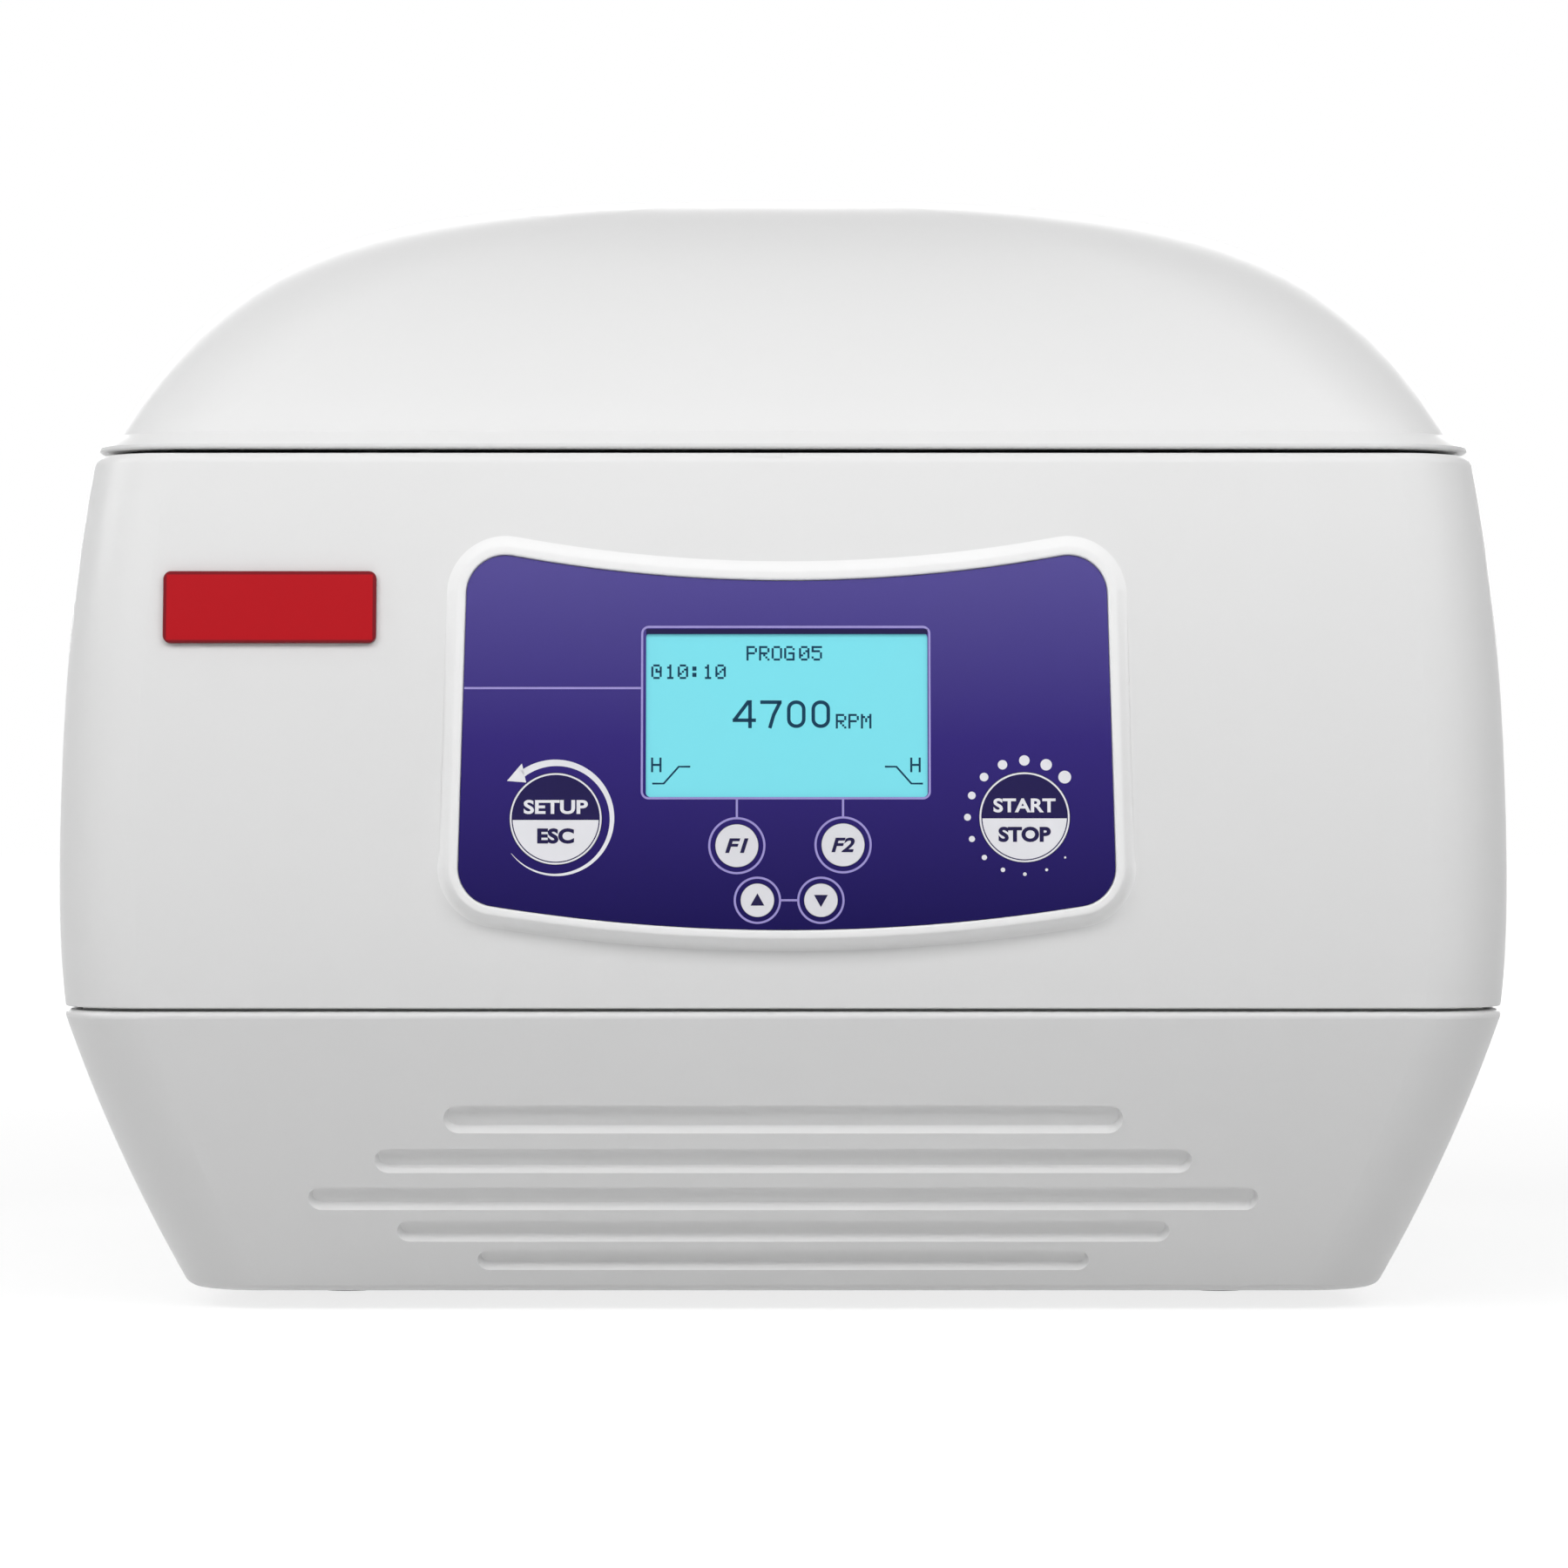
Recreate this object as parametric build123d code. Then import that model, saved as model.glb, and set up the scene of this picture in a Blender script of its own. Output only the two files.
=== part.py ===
from build123d import *
import os
from math import cos, pi, radians, sin, sqrt, tan

# Bench centrifuge for microplates, in millimetres.
# +Z is up, the front faces -Y, and the origin is on the bench under the middle of the cabinet.
# The cabinet is two moulded shells, one over the other, with a domed lid hinged at the back.

# ------------------------------------------------------------------ driving dimensions
# Cabinet outline
side_room = 43.7  # from the bowl to the cabinet's widest level, the belt
front_room = 54.5
rear_room = 71.5
foot_height = 5.0
base_height = 74.4  # underside of the base to the seam
upper_height = 142.0  # seam to deck
belt_rise = 20.6  # widest level above the seam
seam_inset = 1.5  # the upper shell draws in this much at the seam
rim_inset = 0.9  # the base's rim, a little proud of the shell above
seam_gap = 0.8
side_tuck = 27.9  # the base draws in this much at its sides, front and rear
front_tuck = 37.0
rear_tuck = 11.0
base_bow = 0.24  # share of the tuck that bows out; the rest is straight
side_lean = 8.0  # the upper shell leans in this much at deck level
front_lean = 9.0
side_lean_power = 2.6  # how late the lean sets in above the belt
front_lean_power = 2.0
corner_radius = 22.0
wall = 3.2
base_edge_radius = 4.0
seam_edge_radius = 0.5
rim_edge_radius = 1.4
lid_edge_radius = 0.8
deck_edge_radius = 3.0
deck_thickness = 3.0
register_lip_height = 4.0
register_lip_thickness = 1.6
register_lip_clearance = 0.3

# Grooves across the front of the base, from the top down
groove_lengths = [173.5, 209.5, 244.5, 199.5, 158.5]
groove_heights = [8.2, 7.2, 7.0, 6.6, 6.3]
groove_levels = [51.4, 40.4, 30.3, 21.5, 13.6]  # middle of each groove above the bench
groove_depth = 1.8
groove_lip = 1.5  # run of the sloping lower wall
groove_brow = 0.45  # run of the steep upper wall
groove_end = 1.0
groove_over = 0.6  # cutter's start in front of the skin

# Vent slots in both sides of the upper shell
vent_count = 7
vent_length = 70.0
vent_height = 3.2
vent_pitch = 8.0
vent_rear_margin = 110.5  # middle of the slots to the rear wall
vent_rise = 12.0  # lowest slot above the belt

# Lid
lid_gap = 1.2
lid_height = 79.6
lid_side_margin = 11.2  # lid's foot inside the cabinet's belt
lid_front_margin = 15.5
lid_rear_margin = 33.5
lid_rise_power = 1.2
lid_side_power = 4.85  # how square the dome is towards its sides, front and rear
lid_front_power = 3.0
lid_rear_power = 5.5
lid_corner_growth = 54.0
lid_brim_reach = 3.0  # lip round the foot, at the sides and front
lid_brim_rear_reach = 0.3
lid_brim_thickness = 1.3
lid_brim_height = 5.2  # top of the slope above the lip
lid_brim_sink = 0.5  # the slope's top inside the dome's skin
lid_wall = 3.0
lid_levels = [0.0, 0.06, 0.16, 0.30, 0.45, 0.60, 0.74, 0.85, 0.93, 0.975, 0.992]
lid_open_angle = 75.0
liner_thickness = 2.0
liner_clearance = 0.6
liner_edge_gap = 1.8
liner_boss_radius = 5.0
view_port_radius = 9.5
view_port_flange = 12.5
view_port_flange_height = 2.4
view_port_tube_wall = 1.6
view_port_lens_thickness = 4.0
view_port_lens_sink = 0.8
view_port_lens_fit = 0.1
view_port_lens_step = 1.5

# Chamber
chamber_y = -8.0  # the rotor's axis
swing_clearance = 8.2  # round the carriers as they swing out
floor_clearance = 6.65  # under the carriers as they swing out
bowl_wall = 1.5
bowl_rim_width = 14.5
bowl_rim_drop = 8.4  # underside of the rim below the deck, on its ledge
bowl_rim_clearance = 0.5
ledge_width = 5.5
ledge_thickness = 3.0
skirt_wall = 3.0
seal_inset = 2.5
seal_outset = 2.0
seal_height = 2.7
seal_bead_width = 5.0
seal_bead_height = 0.9
seal_clearance = 0.3
guard_gap = 3.5  # between the bowl and its guard
guard_wall = 3.0
guard_drop = 7.0  # guard's floor below the bowl's
guard_floor_thickness = 2.5
guard_floor_hole = 50.0
guard_top_gap = 1.0
boot_hole_radius = 24.0
boot_height = 11.0

# Drive
shaft_radius = 6.0
shaft_bottom_z = 20.5
shaft_clearance = 0.04
nut_shaft_height = 12.0  # shaft standing above the rotor hub
motor_radius = 46.0
motor_bottom_z = 15.0
motor_guard_gap = 4.0
motor_wall = 3.0
motor_end_wall = 4.0
bearing_radius = 14.0
bearing_height = 9.0
bearing_boss_wall = 4.0
stator_inner_radius = 31.0
stator_height = 34.0
rotor_core_radius = 30.3
motor_flange_width = 150.0
motor_flange_thickness = 4.0
motor_flange_z = 40.0
motor_flange_corner = 18.0
damper_radius = 11.0
damper_spread = 58.0
standoff_radius = 6.0
standoff_margin = 15.6
chassis_thickness = 3.0
chassis_side_margin = 49.7
chassis_front_margin = 46.5
chassis_rear_margin = 21.5
chassis_corner = 12.0

# Swing-out rotor and its plate carriers
trunnion_drop = 63.4  # trunnion axis below the deck
trunnion_reach = 60.0  # rotor axis to trunnion axis
trunnion_radius = 4.0
trunnion_clearance = 0.05
hub_radius = 16.0
hub_height = 28.0
hub_drop = 12.0  # underside of the hub below the trunnion axis
hub_bar_half_width = 11.0
rotor_bar_height = 16.0
rotor_bar_drop = 8.0
rotor_arm_thickness = 6.0
rotor_arm_overhang = 8.0
carrier_arm_gap = 1.0
plate_length = 127.76  # standard microplate footprint
plate_width = 85.48
plate_clearance = 0.7
carrier_wall = 1.5
carrier_floor_thickness = 2.0
carrier_floor_drop = 34.0  # underside of the tray below the trunnion axis
carrier_wall_height = 16.0
carrier_ear_thickness = 4.0
carrier_ear_half_width = 10.0
carrier_ear_rise = 8.0
swing_angle = 90.0
nut_radius = 14.0
nut_height = 16.0
nut_running_gap = 0.2
nut_flutes = 8
nut_flute_radius = 2.2

# Control panel
panel_lean = 5.5  # degrees back from upright
panel_drop = 73.4  # middle of the panel below the deck
panel_shift = 0.9  # the panel sits a little right of the cabinet's middle
panel_top_proud = 1.2  # bezel stands this far out of the face at its top
panel_top_half_width = 81.0
panel_top_v = 49.5
panel_top_dip = 8.6
panel_bottom_half_width = 83.2
panel_bottom_v = -40.5
panel_bottom_sag = 7.5
panel_corner = 10.0
bezel_width = 4.6
bezel_depth = 12.0
bezel_edge_radius = 2.6
bezel_flange_width = 3.5
bezel_flange_gap = 0.1
bezel_fit = 0.25
bezel_ledge = 3.2
board_ledge = 1.2
overlay_recess = 0.8
overlay_thickness = 0.8
overlay_fit = 0.15
window_width = 71.2
window_height = 41.8
window_v = 6.6
window_corner = 1.2
display_glass_margin = 1.0
display_glass_thickness = 0.8
display_module_width = 84.0
display_module_height = 52.0
key_clearance = 0.15
key_thickness = 1.0
key_travel = 0.5
key_stem_radius = 1.8
key_stem_length = 2.6
switch_gap = 0.6
switch_size = 6.0
switch_height = 2.4
keypad_board_thickness = 1.6
board_fit = 0.2
# name: (u, v, radius) on the panel
keys = {
    "key_setup": (-58.3, -19.8, 11.6),
    "key_start": (60.0, -19.4, 11.4),
    "key_f1": (-12.6, -26.6, 5.4),
    "key_f2": (14.2, -26.4, 5.4),
    "key_up": (-7.4, -40.4, 4.2),
    "key_down": (8.6, -40.4, 4.2),
}
badge_width = 54.0
badge_height = 18.4
badge_thickness = 1.4
badge_corner = 2.0
badge_side_margin = 55.7  # badge's middle to the cabinet's left side
badge_drop = 39.7
badge_bond = 0.25  # adhesive film behind the badge

# Hinge
hinge_x = 105.0
hinge_setback = 25.5  # axis to the rear wall
hinge_rise = 6.6  # axis above the deck
hinge_pin_radius = 3.0
hinge_pin_clearance = 0.05
hinge_knuckle_radius = 6.0
hinge_knuckle_half_width = 7.5
hinge_ear_thickness = 5.0
hinge_side_gap = 0.5
hinge_base_thickness = 2.5
hinge_base_margin = 7.5
hinge_arm_length = 48.0
hinge_arm_thickness = 5.4
hinge_notch_gap = 1.2
hinge_notch_depth = 12.0
hinge_pin_head_radius = 4.4
hinge_pin_head = 1.5

# Lid latch
latch_side_margin = 85.7  # hook to the cabinet's side
latch_setback = 27.5  # shaft to the front face
latch_drop = 35.4
striker_offset_y = 11.0  # striker bar from the latch pivot
striker_offset_z = 14.0
striker_wire_radius = 2.5
striker_half_width = 7.0
striker_slot_margin = 2.5
striker_slot_length = 14.5
latch_hook_thickness = 5.0
latch_hook_nose_gap = 1.0
latch_hook_nose_height = 4.5
latch_hook_arm_width = 6.0
latch_hook_reach = 2.0
latch_hub_radius = 5.5
latch_shaft_radius = 3.0
latch_throw = 25.0
latch_ear_thickness = 2.5
latch_ear_gap = 8.0
latch_plate_thickness = 2.0
latch_plate_overhang = 21.0
latch_plate_front = 13.0
latch_plate_rear = 7.0
latch_ear_half_width = 6.0
latch_motor_radius = 11.0
latch_motor_length = 40.0
latch_motor_socket = 5.0
running_clearance = 0.05

# Rear panel and what it carries
rear_opening_margin = 39.7
rear_opening_rise = 13.6  # above the seam
rear_opening_drop = 26.4  # below the deck
rear_panel_overlap = 7.0
rear_panel_thickness = 1.6
rear_panel_corner = 5.0
panel_seat_gap = 0.1
cutout_fit = 0.2
rear_screw_margin = 10.0
fan_x = -80.0
fan_drop = 76.4
fan_size = 80.0
fan_depth = 25.0
fan_bore_radius = 37.5
fan_hub_radius = 17.0
fan_blades = 7
fan_blade_tip_gap = 1.5
fan_blade_thickness = 2.0
fan_blade_twist = 40.0
fan_blade_sink = 2.0
fan_spindle_radius = 2.4
fan_spindle_length = 8.0
fan_strut_width = 5.0
fan_strut_depth = 3.0
fan_axial_gap = 0.6
fan_guard_rings = [10.0, 19.0, 28.0, 37.0]
fan_guard_wire = 1.6
fan_guard_tab_radius = 4.0
fan_screw_spread = 35.75
inlet_x = 88.0
inlet_drop = 109.4
inlet_flange_width = 50.0
inlet_flange_height = 23.0
inlet_flange_thickness = 2.4
inlet_body_width = 28.0
inlet_body_height = 20.0
inlet_depth = 20.0
inlet_cavity_width = 24.4
inlet_cavity_height = 16.4
inlet_cavity_depth = 16.0
inlet_pin_length = 13.0
inlet_pin_pitch = 14.0
inlet_pin_size = (2.0, 4.0)
inlet_earth_drop = 4.0
rocker_x = 88.0
rocker_drop = 61.4
rocker_frame_width = 22.0
rocker_frame_height = 32.0
rocker_frame_proud = 1.8
rocker_frame_border = 2.0
rocker_body_depth = 16.0
rocker_gap = 0.35
rocker_radius = 14.0
rocker_sink = 9.0
rocker_face = 9.3  # key's face from its pivot
rocker_half_height = 11.3
rocker_side_wall = 1.2
rocker_pin_radius = 1.9
rocker_throw = 14.0
fuse_x = 122.0
fuse_pitch = 22.0
fuse_cap_radius = 6.5
fuse_cap_proud = 5.0
fuse_body_radius = 5.6
fuse_body_depth = 22.0

# Feet, boards and screws
foot_side_margin = 67.7
foot_front_margin = 98.5
foot_rear_margin = 40.5
foot_radius = 12.0
foot_screw_head_radius = 4.6
foot_screw_head_height = 2.4
foot_screw_radius = 2.1
foot_screw_recess = 0.8
foot_screw_grip = 4.5
drive_board_width = 170.0
drive_board_depth = 54.0
drive_board_margin = 6.0  # behind the chassis plate's front edge
drive_board_rise = 8.0
drive_board_thickness = 1.6
board_post_radius = 3.2
board_post_inset = 7.0
capacitor_count = 3
capacitor_radius = 11.0
capacitor_height = 32.0
capacitor_pitch = 26.0
capacitor_first = 23.0  # first capacitor's middle to the board's left edge
choke_side = 32.0
choke_height = 22.0
choke_first = 93.0  # choke's left side to the board's left edge
transistor_width = 9.0
transistor_depth = 16.0
transistor_height = 12.0
transistor_places = [133.0, 147.0]
solder_sink = 0.5
heatsink_x = 60.0
heatsink_length = 100.0
heatsink_rear_margin = 4.0
heatsink_depth = 28.0
heatsink_height = 44.0
heatsink_base = 6.0
heatsink_fins = 9
heatsink_fin_thickness = 2.0
bumper_side_margin = 32.5
bumper_front_margin = 29.0
bumper_radius = 5.0
bumper_gap = 0.25
screw_head_radius = 3.2
screw_head_height = 1.4
screw_shank_radius = 1.6
liner_screw_side_margin = 24.5
liner_screw_front_margin = 49.0
liner_screw_rear_margin = 42.0
liner_screw_grip = 8.0
liner_screw_head_radius = 3.0
liner_screw_head_height = 1.1

# ------------------------------------------------------------------ sizes and places that follow
# The plate sets the carrier, the carrier's swing sets the bowl, and the bowl sets the cabinet.
carrier_half_x = plate_width / 2 + plate_clearance + carrier_wall
carrier_half_y = plate_length / 2 + plate_clearance + carrier_wall
carrier_ear_outer = carrier_half_y + carrier_ear_thickness
rotor_arm_inner = carrier_ear_outer + carrier_arm_gap
rotor_arm_outer = rotor_arm_inner + rotor_arm_thickness
swing_reach = sqrt(carrier_half_x**2 + carrier_floor_drop**2)
bowl_radius = sqrt((trunnion_reach + swing_reach) ** 2 + carrier_half_y**2) + swing_clearance
deck_opening_radius = bowl_radius + bowl_rim_width + bowl_rim_clearance
seal_inner_radius = bowl_radius + seal_inset
seal_outer_radius = deck_opening_radius - seal_outset
guard_outer_radius = bowl_radius + bowl_wall + guard_gap + guard_wall
standoff_spread = (guard_outer_radius - standoff_margin) / sqrt(2)
cabinet_width = 2 * (bowl_radius + side_room)  # 371 across the belt
front_y = chamber_y - bowl_radius - front_room  # -204.5, the front face at the belt
rear_y = chamber_y + bowl_radius + rear_room  # 205.5, the rear wall
lid_half_width = cabinet_width / 2 - lid_side_margin
lid_front_y = front_y + lid_front_margin
lid_rear_y = rear_y - lid_rear_margin
hinge_y = rear_y - hinge_setback
hinge_base_rear_y = rear_y - hinge_base_margin
hinge_arm_front_y = hinge_y - hinge_arm_length
latch_x = cabinet_width / 2 - latch_side_margin
latch_pivot_y = front_y + latch_setback
latch_plate_half_length = latch_x + latch_plate_overhang
latch_plate_front_y = latch_pivot_y - latch_plate_front
latch_plate_rear_y = latch_pivot_y + latch_plate_rear
rear_opening_half_width = cabinet_width / 2 - rear_opening_margin
vent_middle_y = rear_y - vent_rear_margin
badge_x = badge_side_margin - cabinet_width / 2
chassis_width = cabinet_width - 2 * chassis_side_margin
chassis_front_y = front_y + chassis_front_margin
chassis_rear_y = rear_y - chassis_rear_margin
foot_x = cabinet_width / 2 - foot_side_margin
foot_front_y = front_y + foot_front_margin
foot_rear_y = rear_y - foot_rear_margin
drive_board_front_y = chassis_front_y + drive_board_margin
drive_board_rear_y = drive_board_front_y + drive_board_depth
heatsink_front_y = chassis_rear_y - heatsink_rear_margin - heatsink_depth
bumper_x = lid_half_width - bumper_side_margin
bumper_y = lid_front_y + bumper_front_margin
liner_screw_x = lid_half_width - liner_screw_side_margin
liner_screw_front_y = lid_front_y + liner_screw_front_margin
liner_screw_rear_y = lid_rear_y - liner_screw_rear_margin
base_bottom_z = foot_height
seam_z = base_bottom_z + base_height
upper_bottom_z = seam_z + seam_gap
belt_z = seam_z + belt_rise
deck_z = seam_z + upper_height
deck_underside_z = deck_z - deck_thickness
base_floor_z = base_bottom_z + wall
chassis_top_z = base_floor_z + chassis_thickness
lid_bottom_z = deck_z + lid_gap
lid_crest_y = chamber_y
liner_bottom_z = lid_bottom_z + liner_clearance
liner_top_z = liner_bottom_z + liner_thickness
bowl_rim_z = deck_z - bowl_rim_drop
bowl_rim_top_z = bowl_rim_z + bowl_wall
seal_top_z = bowl_rim_top_z + seal_height
dish_bottom_z = seal_top_z + seal_clearance
dish_radius = deck_opening_radius - 1.0
trunnion_z = deck_z - trunnion_drop
bowl_floor_z = trunnion_z - swing_reach - floor_clearance
guard_floor_z = bowl_floor_z - guard_drop
guard_floor_top_z = guard_floor_z + guard_floor_thickness
hub_bottom_z = trunnion_z - hub_drop
rotor_bar_bottom_z = trunnion_z - rotor_bar_drop
hub_top_z = hub_bottom_z + hub_height
shaft_top_z = hub_top_z + nut_shaft_height
motor_top_z = guard_floor_z - motor_guard_gap
hinge_z = deck_z + hinge_rise
striker_y = latch_pivot_y + striker_offset_y
latch_pivot_z = deck_z - latch_drop
striker_z = latch_pivot_z + striker_offset_z
panel_middle_z = deck_z - panel_drop
badge_z = deck_z - badge_drop
vent_lowest_z = belt_z + vent_rise
rear_opening_bottom_z = seam_z + rear_opening_rise
rear_opening_top_z = deck_z - rear_opening_drop
fan_z = deck_z - fan_drop
inlet_z = deck_z - inlet_drop
rocker_z = deck_z - rocker_drop
rear_panel_inner_y = rear_y + panel_seat_gap
rear_panel_outer_y = rear_panel_inner_y + rear_panel_thickness


# ------------------------------------------------------------------ small helpers
def block(x0, x1, y0, y1, z0, z1):
    """A box between two corners."""
    return Pos((x0 + x1) / 2, (y0 + y1) / 2, (z0 + z1) / 2) * Box(x1 - x0, y1 - y0, z1 - z0)


def rod_z(radius, z0, z1, x=0.0, y=0.0):
    """An upright cylinder."""
    return Pos(x, y, (z0 + z1) / 2) * Cylinder(radius, z1 - z0)


def rod_x(radius, x0, x1, y, z):
    """A cylinder along X."""
    return Pos((x0 + x1) / 2, y, z) * Rot(0, 90, 0) * Cylinder(radius, x1 - x0)


def rod_y(radius, y0, y1, x, z):
    """A cylinder along Y."""
    return Pos(x, (y0 + y1) / 2, z) * Rot(90, 0, 0) * Cylinder(radius, y1 - y0)


def ring_z(outer, inner, z0, z1, x=0.0, y=0.0):
    """An upright tube."""
    return rod_z(outer, z0, z1, x, y) - rod_z(inner, z0 - 1, z1 + 1, x, y)


def rounded_plate(x0, x1, y0, y1, z0, z1, radius):
    """A flat plate with round corners, lying down."""
    outline = Pos((x0 + x1) / 2, (y0 + y1) / 2, z0) * RectangleRounded(x1 - x0, y1 - y0, radius)
    return extrude(outline, z1 - z0)


def upright_plate(x, z, width, height, y0, y1, radius):
    """A plate with round corners, standing in an XZ plane and running from y0 to y1."""
    standing = Plane(origin=(x, y1, z), x_dir=(1, 0, 0), z_dir=(0, -1, 0))
    return extrude(standing * RectangleRounded(width, height, radius), y1 - y0)


def group(solids):
    """Several separate solids that share one node."""
    return Compound(children=[s for piece in solids for s in piece.solids()])


def corners(x, y0, y1):
    """Four places, left and right of the middle, at two depths."""
    return [(sx * x, y) for sx in (-1, 1) for y in (y0, y1)]


# ------------------------------------------------------------------ cabinet outline
def cabinet_inset(z, tuck, lean, lean_power):
    """How far a side stands in from its widest line at height z."""
    if z <= seam_z:
        share = (seam_z - z) / base_height
        return rim_inset + tuck * ((1 - base_bow) * share + base_bow * share**2)
    if z < belt_z:
        return seam_inset * ((belt_z - z) / belt_rise) ** 2
    return lean * ((z - belt_z) / (deck_z - belt_z)) ** lean_power


def side_inset(z):
    return cabinet_inset(z, side_tuck, side_lean, side_lean_power)


def front_inset(z):
    return cabinet_inset(z, front_tuck, front_lean, front_lean_power)


def rear_inset(z):
    return cabinet_inset(z, rear_tuck, 0.0, front_lean_power)


def face_y(z):
    """The front face of the cabinet at height z."""
    return front_y + front_inset(z)


def outline(z, half_width, front, rear, radius):
    """A rounded rectangle at height z."""
    middle = Pos(0, (front + rear) / 2, z)
    return middle * RectangleRounded(2 * half_width, rear - front, radius)


def cabinet_outline(z, inset, level=None):
    """The cabinet's outline at height z, drawn in by inset, and placed at another level if one is given."""
    place = z if level is None else level
    half_width = cabinet_width / 2 - side_inset(z) - inset
    front, rear = face_y(z) + inset, rear_y - rear_inset(z) - inset
    return outline(place, half_width, front, rear, corner_radius - inset)


def cabinet_block(z0, z1, inset, steps):
    """The solid inside the cabinet's outline between two heights."""
    levels = [z0 + (z1 - z0) * i / steps for i in range(steps + 1)]
    return loft([cabinet_outline(z, inset) for z in levels])


# ------------------------------------------------------------------ base housing
def groove_section(length, height, depth):
    """A groove's outline at a depth below the skin: its ends, brow and lip all run in as it gets deeper."""
    share = depth / groove_depth
    low = height / 2 - groove_lip * share
    high = height / 2 - groove_brow * share
    middle = Pos(0, (high - low) / 2, -depth)
    return middle * SlotOverall(length - 2 * groove_end * share, high + low)


def groove_cutters():
    """Long grooves with round ends, each square to the skin at its own height."""
    cutters = []
    for length, height, z in zip(groove_lengths, groove_heights, groove_levels):
        slope = face_y(z - 0.5) - face_y(z + 0.5)
        normal = Vector(0, -1, -slope).normalized()
        skin = Plane(origin=(0, face_y(z), z), x_dir=(1, 0, 0), z_dir=normal)
        sections = [groove_section(length, height, depth) for depth in (-groove_over, groove_depth)]
        cutters.append(skin.location * loft(sections))
    return cutters


def make_base_housing():
    """The tub that everything stands in, with its floor, grooves and screw holes."""
    outer = cabinet_block(base_bottom_z, seam_z, 0.0, 5)
    outer = fillet(outer.edges().group_by(Axis.Z)[0], base_edge_radius)
    outer = fillet(outer.edges().group_by(Axis.Z)[-1], rim_edge_radius)
    tub = outer - cabinet_block(base_floor_z, seam_z, wall, 5)
    for cutter in groove_cutters():
        tub -= cutter
    for x, y in corners(foot_x, foot_front_y, foot_rear_y):
        tub -= rod_z(foot_screw_radius + 0.2, base_bottom_z - 1, base_floor_z + 1, x, y)
    return tub


# ------------------------------------------------------------------ upper housing
def vent_cutters():
    """Level slots through both side walls."""
    reach = cabinet_width / 2
    depth = side_lean + wall + 4
    slots = []
    for row in range(vent_count):
        z = vent_lowest_z + row * vent_pitch
        for side in (-1, 1):
            middle = Plane(origin=(side * reach, vent_middle_y, z), x_dir=(0, 1, 0), z_dir=(1, 0, 0))
            slots.append(extrude(middle * SlotOverall(vent_length, vent_height), depth, both=True))
    return slots


def striker_slot(side, z0, z1):
    """The way through for one lid striker."""
    x = side * latch_x
    half = striker_half_width + striker_wire_radius + striker_slot_margin
    y0 = striker_y - striker_slot_length / 2
    return block(x - half, x + half, y0, y0 + striker_slot_length, z0, z1)


def register_lip():
    """The lip inside the seam, which reaches down into the base and grows out of the wall above it."""
    bottom = seam_z - register_lip_height
    inset = wall + register_lip_clearance
    rise = register_lip_height + seam_gap
    lip = extrude(cabinet_outline(bottom, inset, bottom), rise + register_lip_height)
    root = extrude(cabinet_outline(bottom, wall / 2, upper_bottom_z), register_lip_height)
    bore_outline = cabinet_outline(bottom, inset + register_lip_thickness, bottom)
    bore = extrude(bore_outline, rise + register_lip_height)
    return lip + root - bore


def make_upper_housing():
    """The shell over the base: four walls and the deck, with the chamber's opening and ledge."""
    outer = cabinet_block(upper_bottom_z, deck_z, 0.0, 5)
    outer = fillet(outer.edges().group_by(Axis.Z)[-1], deck_edge_radius)
    outer = fillet(outer.edges().group_by(Axis.Z)[0], seam_edge_radius)
    inner = cabinet_block(upper_bottom_z, deck_underside_z, wall, 5)
    shell = outer - inner
    skirt_radius = deck_opening_radius + skirt_wall
    shell += rod_z(skirt_radius, bowl_rim_z - ledge_thickness, deck_underside_z, 0, chamber_y)
    shell -= rod_z(deck_opening_radius, bowl_rim_z, deck_z + 1, 0, chamber_y)
    ledge_radius = deck_opening_radius - ledge_width
    shell -= rod_z(ledge_radius, bowl_rim_z - ledge_thickness - 1, bowl_rim_z + 1, 0, chamber_y)
    shell += register_lip()
    shell -= panel_prism(bezel_width + bezel_fit, -bezel_depth - 6, 6)
    for slot in vent_cutters():
        shell -= slot
    for side in (-1, 1):
        shell -= striker_slot(side, deck_underside_z - 1, deck_z + 1)
    opening_width, opening_height = 2 * rear_opening_half_width, rear_opening_top_z - rear_opening_bottom_z
    opening_z = (rear_opening_top_z + rear_opening_bottom_z) / 2
    shell -= upright_plate(0, opening_z, opening_width, opening_height, rear_y - wall - 2, rear_y + 2, 3.0)
    return shell


# ------------------------------------------------------------------ control panel
panel_top_z = panel_middle_z + panel_top_v + bezel_width
panel_y = face_y(panel_top_z) - panel_top_proud - (panel_top_z - panel_middle_z) * tan(radians(panel_lean))
panel_plane = Plane(
    origin=(panel_shift, panel_y, panel_middle_z),
    x_dir=(1, 0, 0),
    z_dir=(0, -cos(radians(panel_lean)), sin(radians(panel_lean))),
)


def panel_outline(grow=0.0):
    """The overlay's outline: hollow along the top, full along the bottom, round at its corners."""
    top_left, top_right = (-panel_top_half_width, panel_top_v), (panel_top_half_width, panel_top_v)
    low_left = (-panel_bottom_half_width, panel_bottom_v)
    low_right = (panel_bottom_half_width, panel_bottom_v)
    edge = ThreePointArc(top_left, (0, panel_top_v - panel_top_dip), top_right)
    edge += Line(top_right, low_right)
    edge += ThreePointArc(low_right, (0, panel_bottom_v - panel_bottom_sag), low_left)
    edge += Line(low_left, top_left)
    shape = make_face(edge)
    shape = fillet(shape.vertices(), panel_corner)
    return offset(shape, grow) if grow else shape


def panel_prism(grow, w0, w1):
    """The overlay's outline, grown and run from w0 to w1 along the panel's normal."""
    return panel_plane.location * extrude(Pos(0, 0, w0) * panel_outline(grow), w1 - w0)


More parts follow.
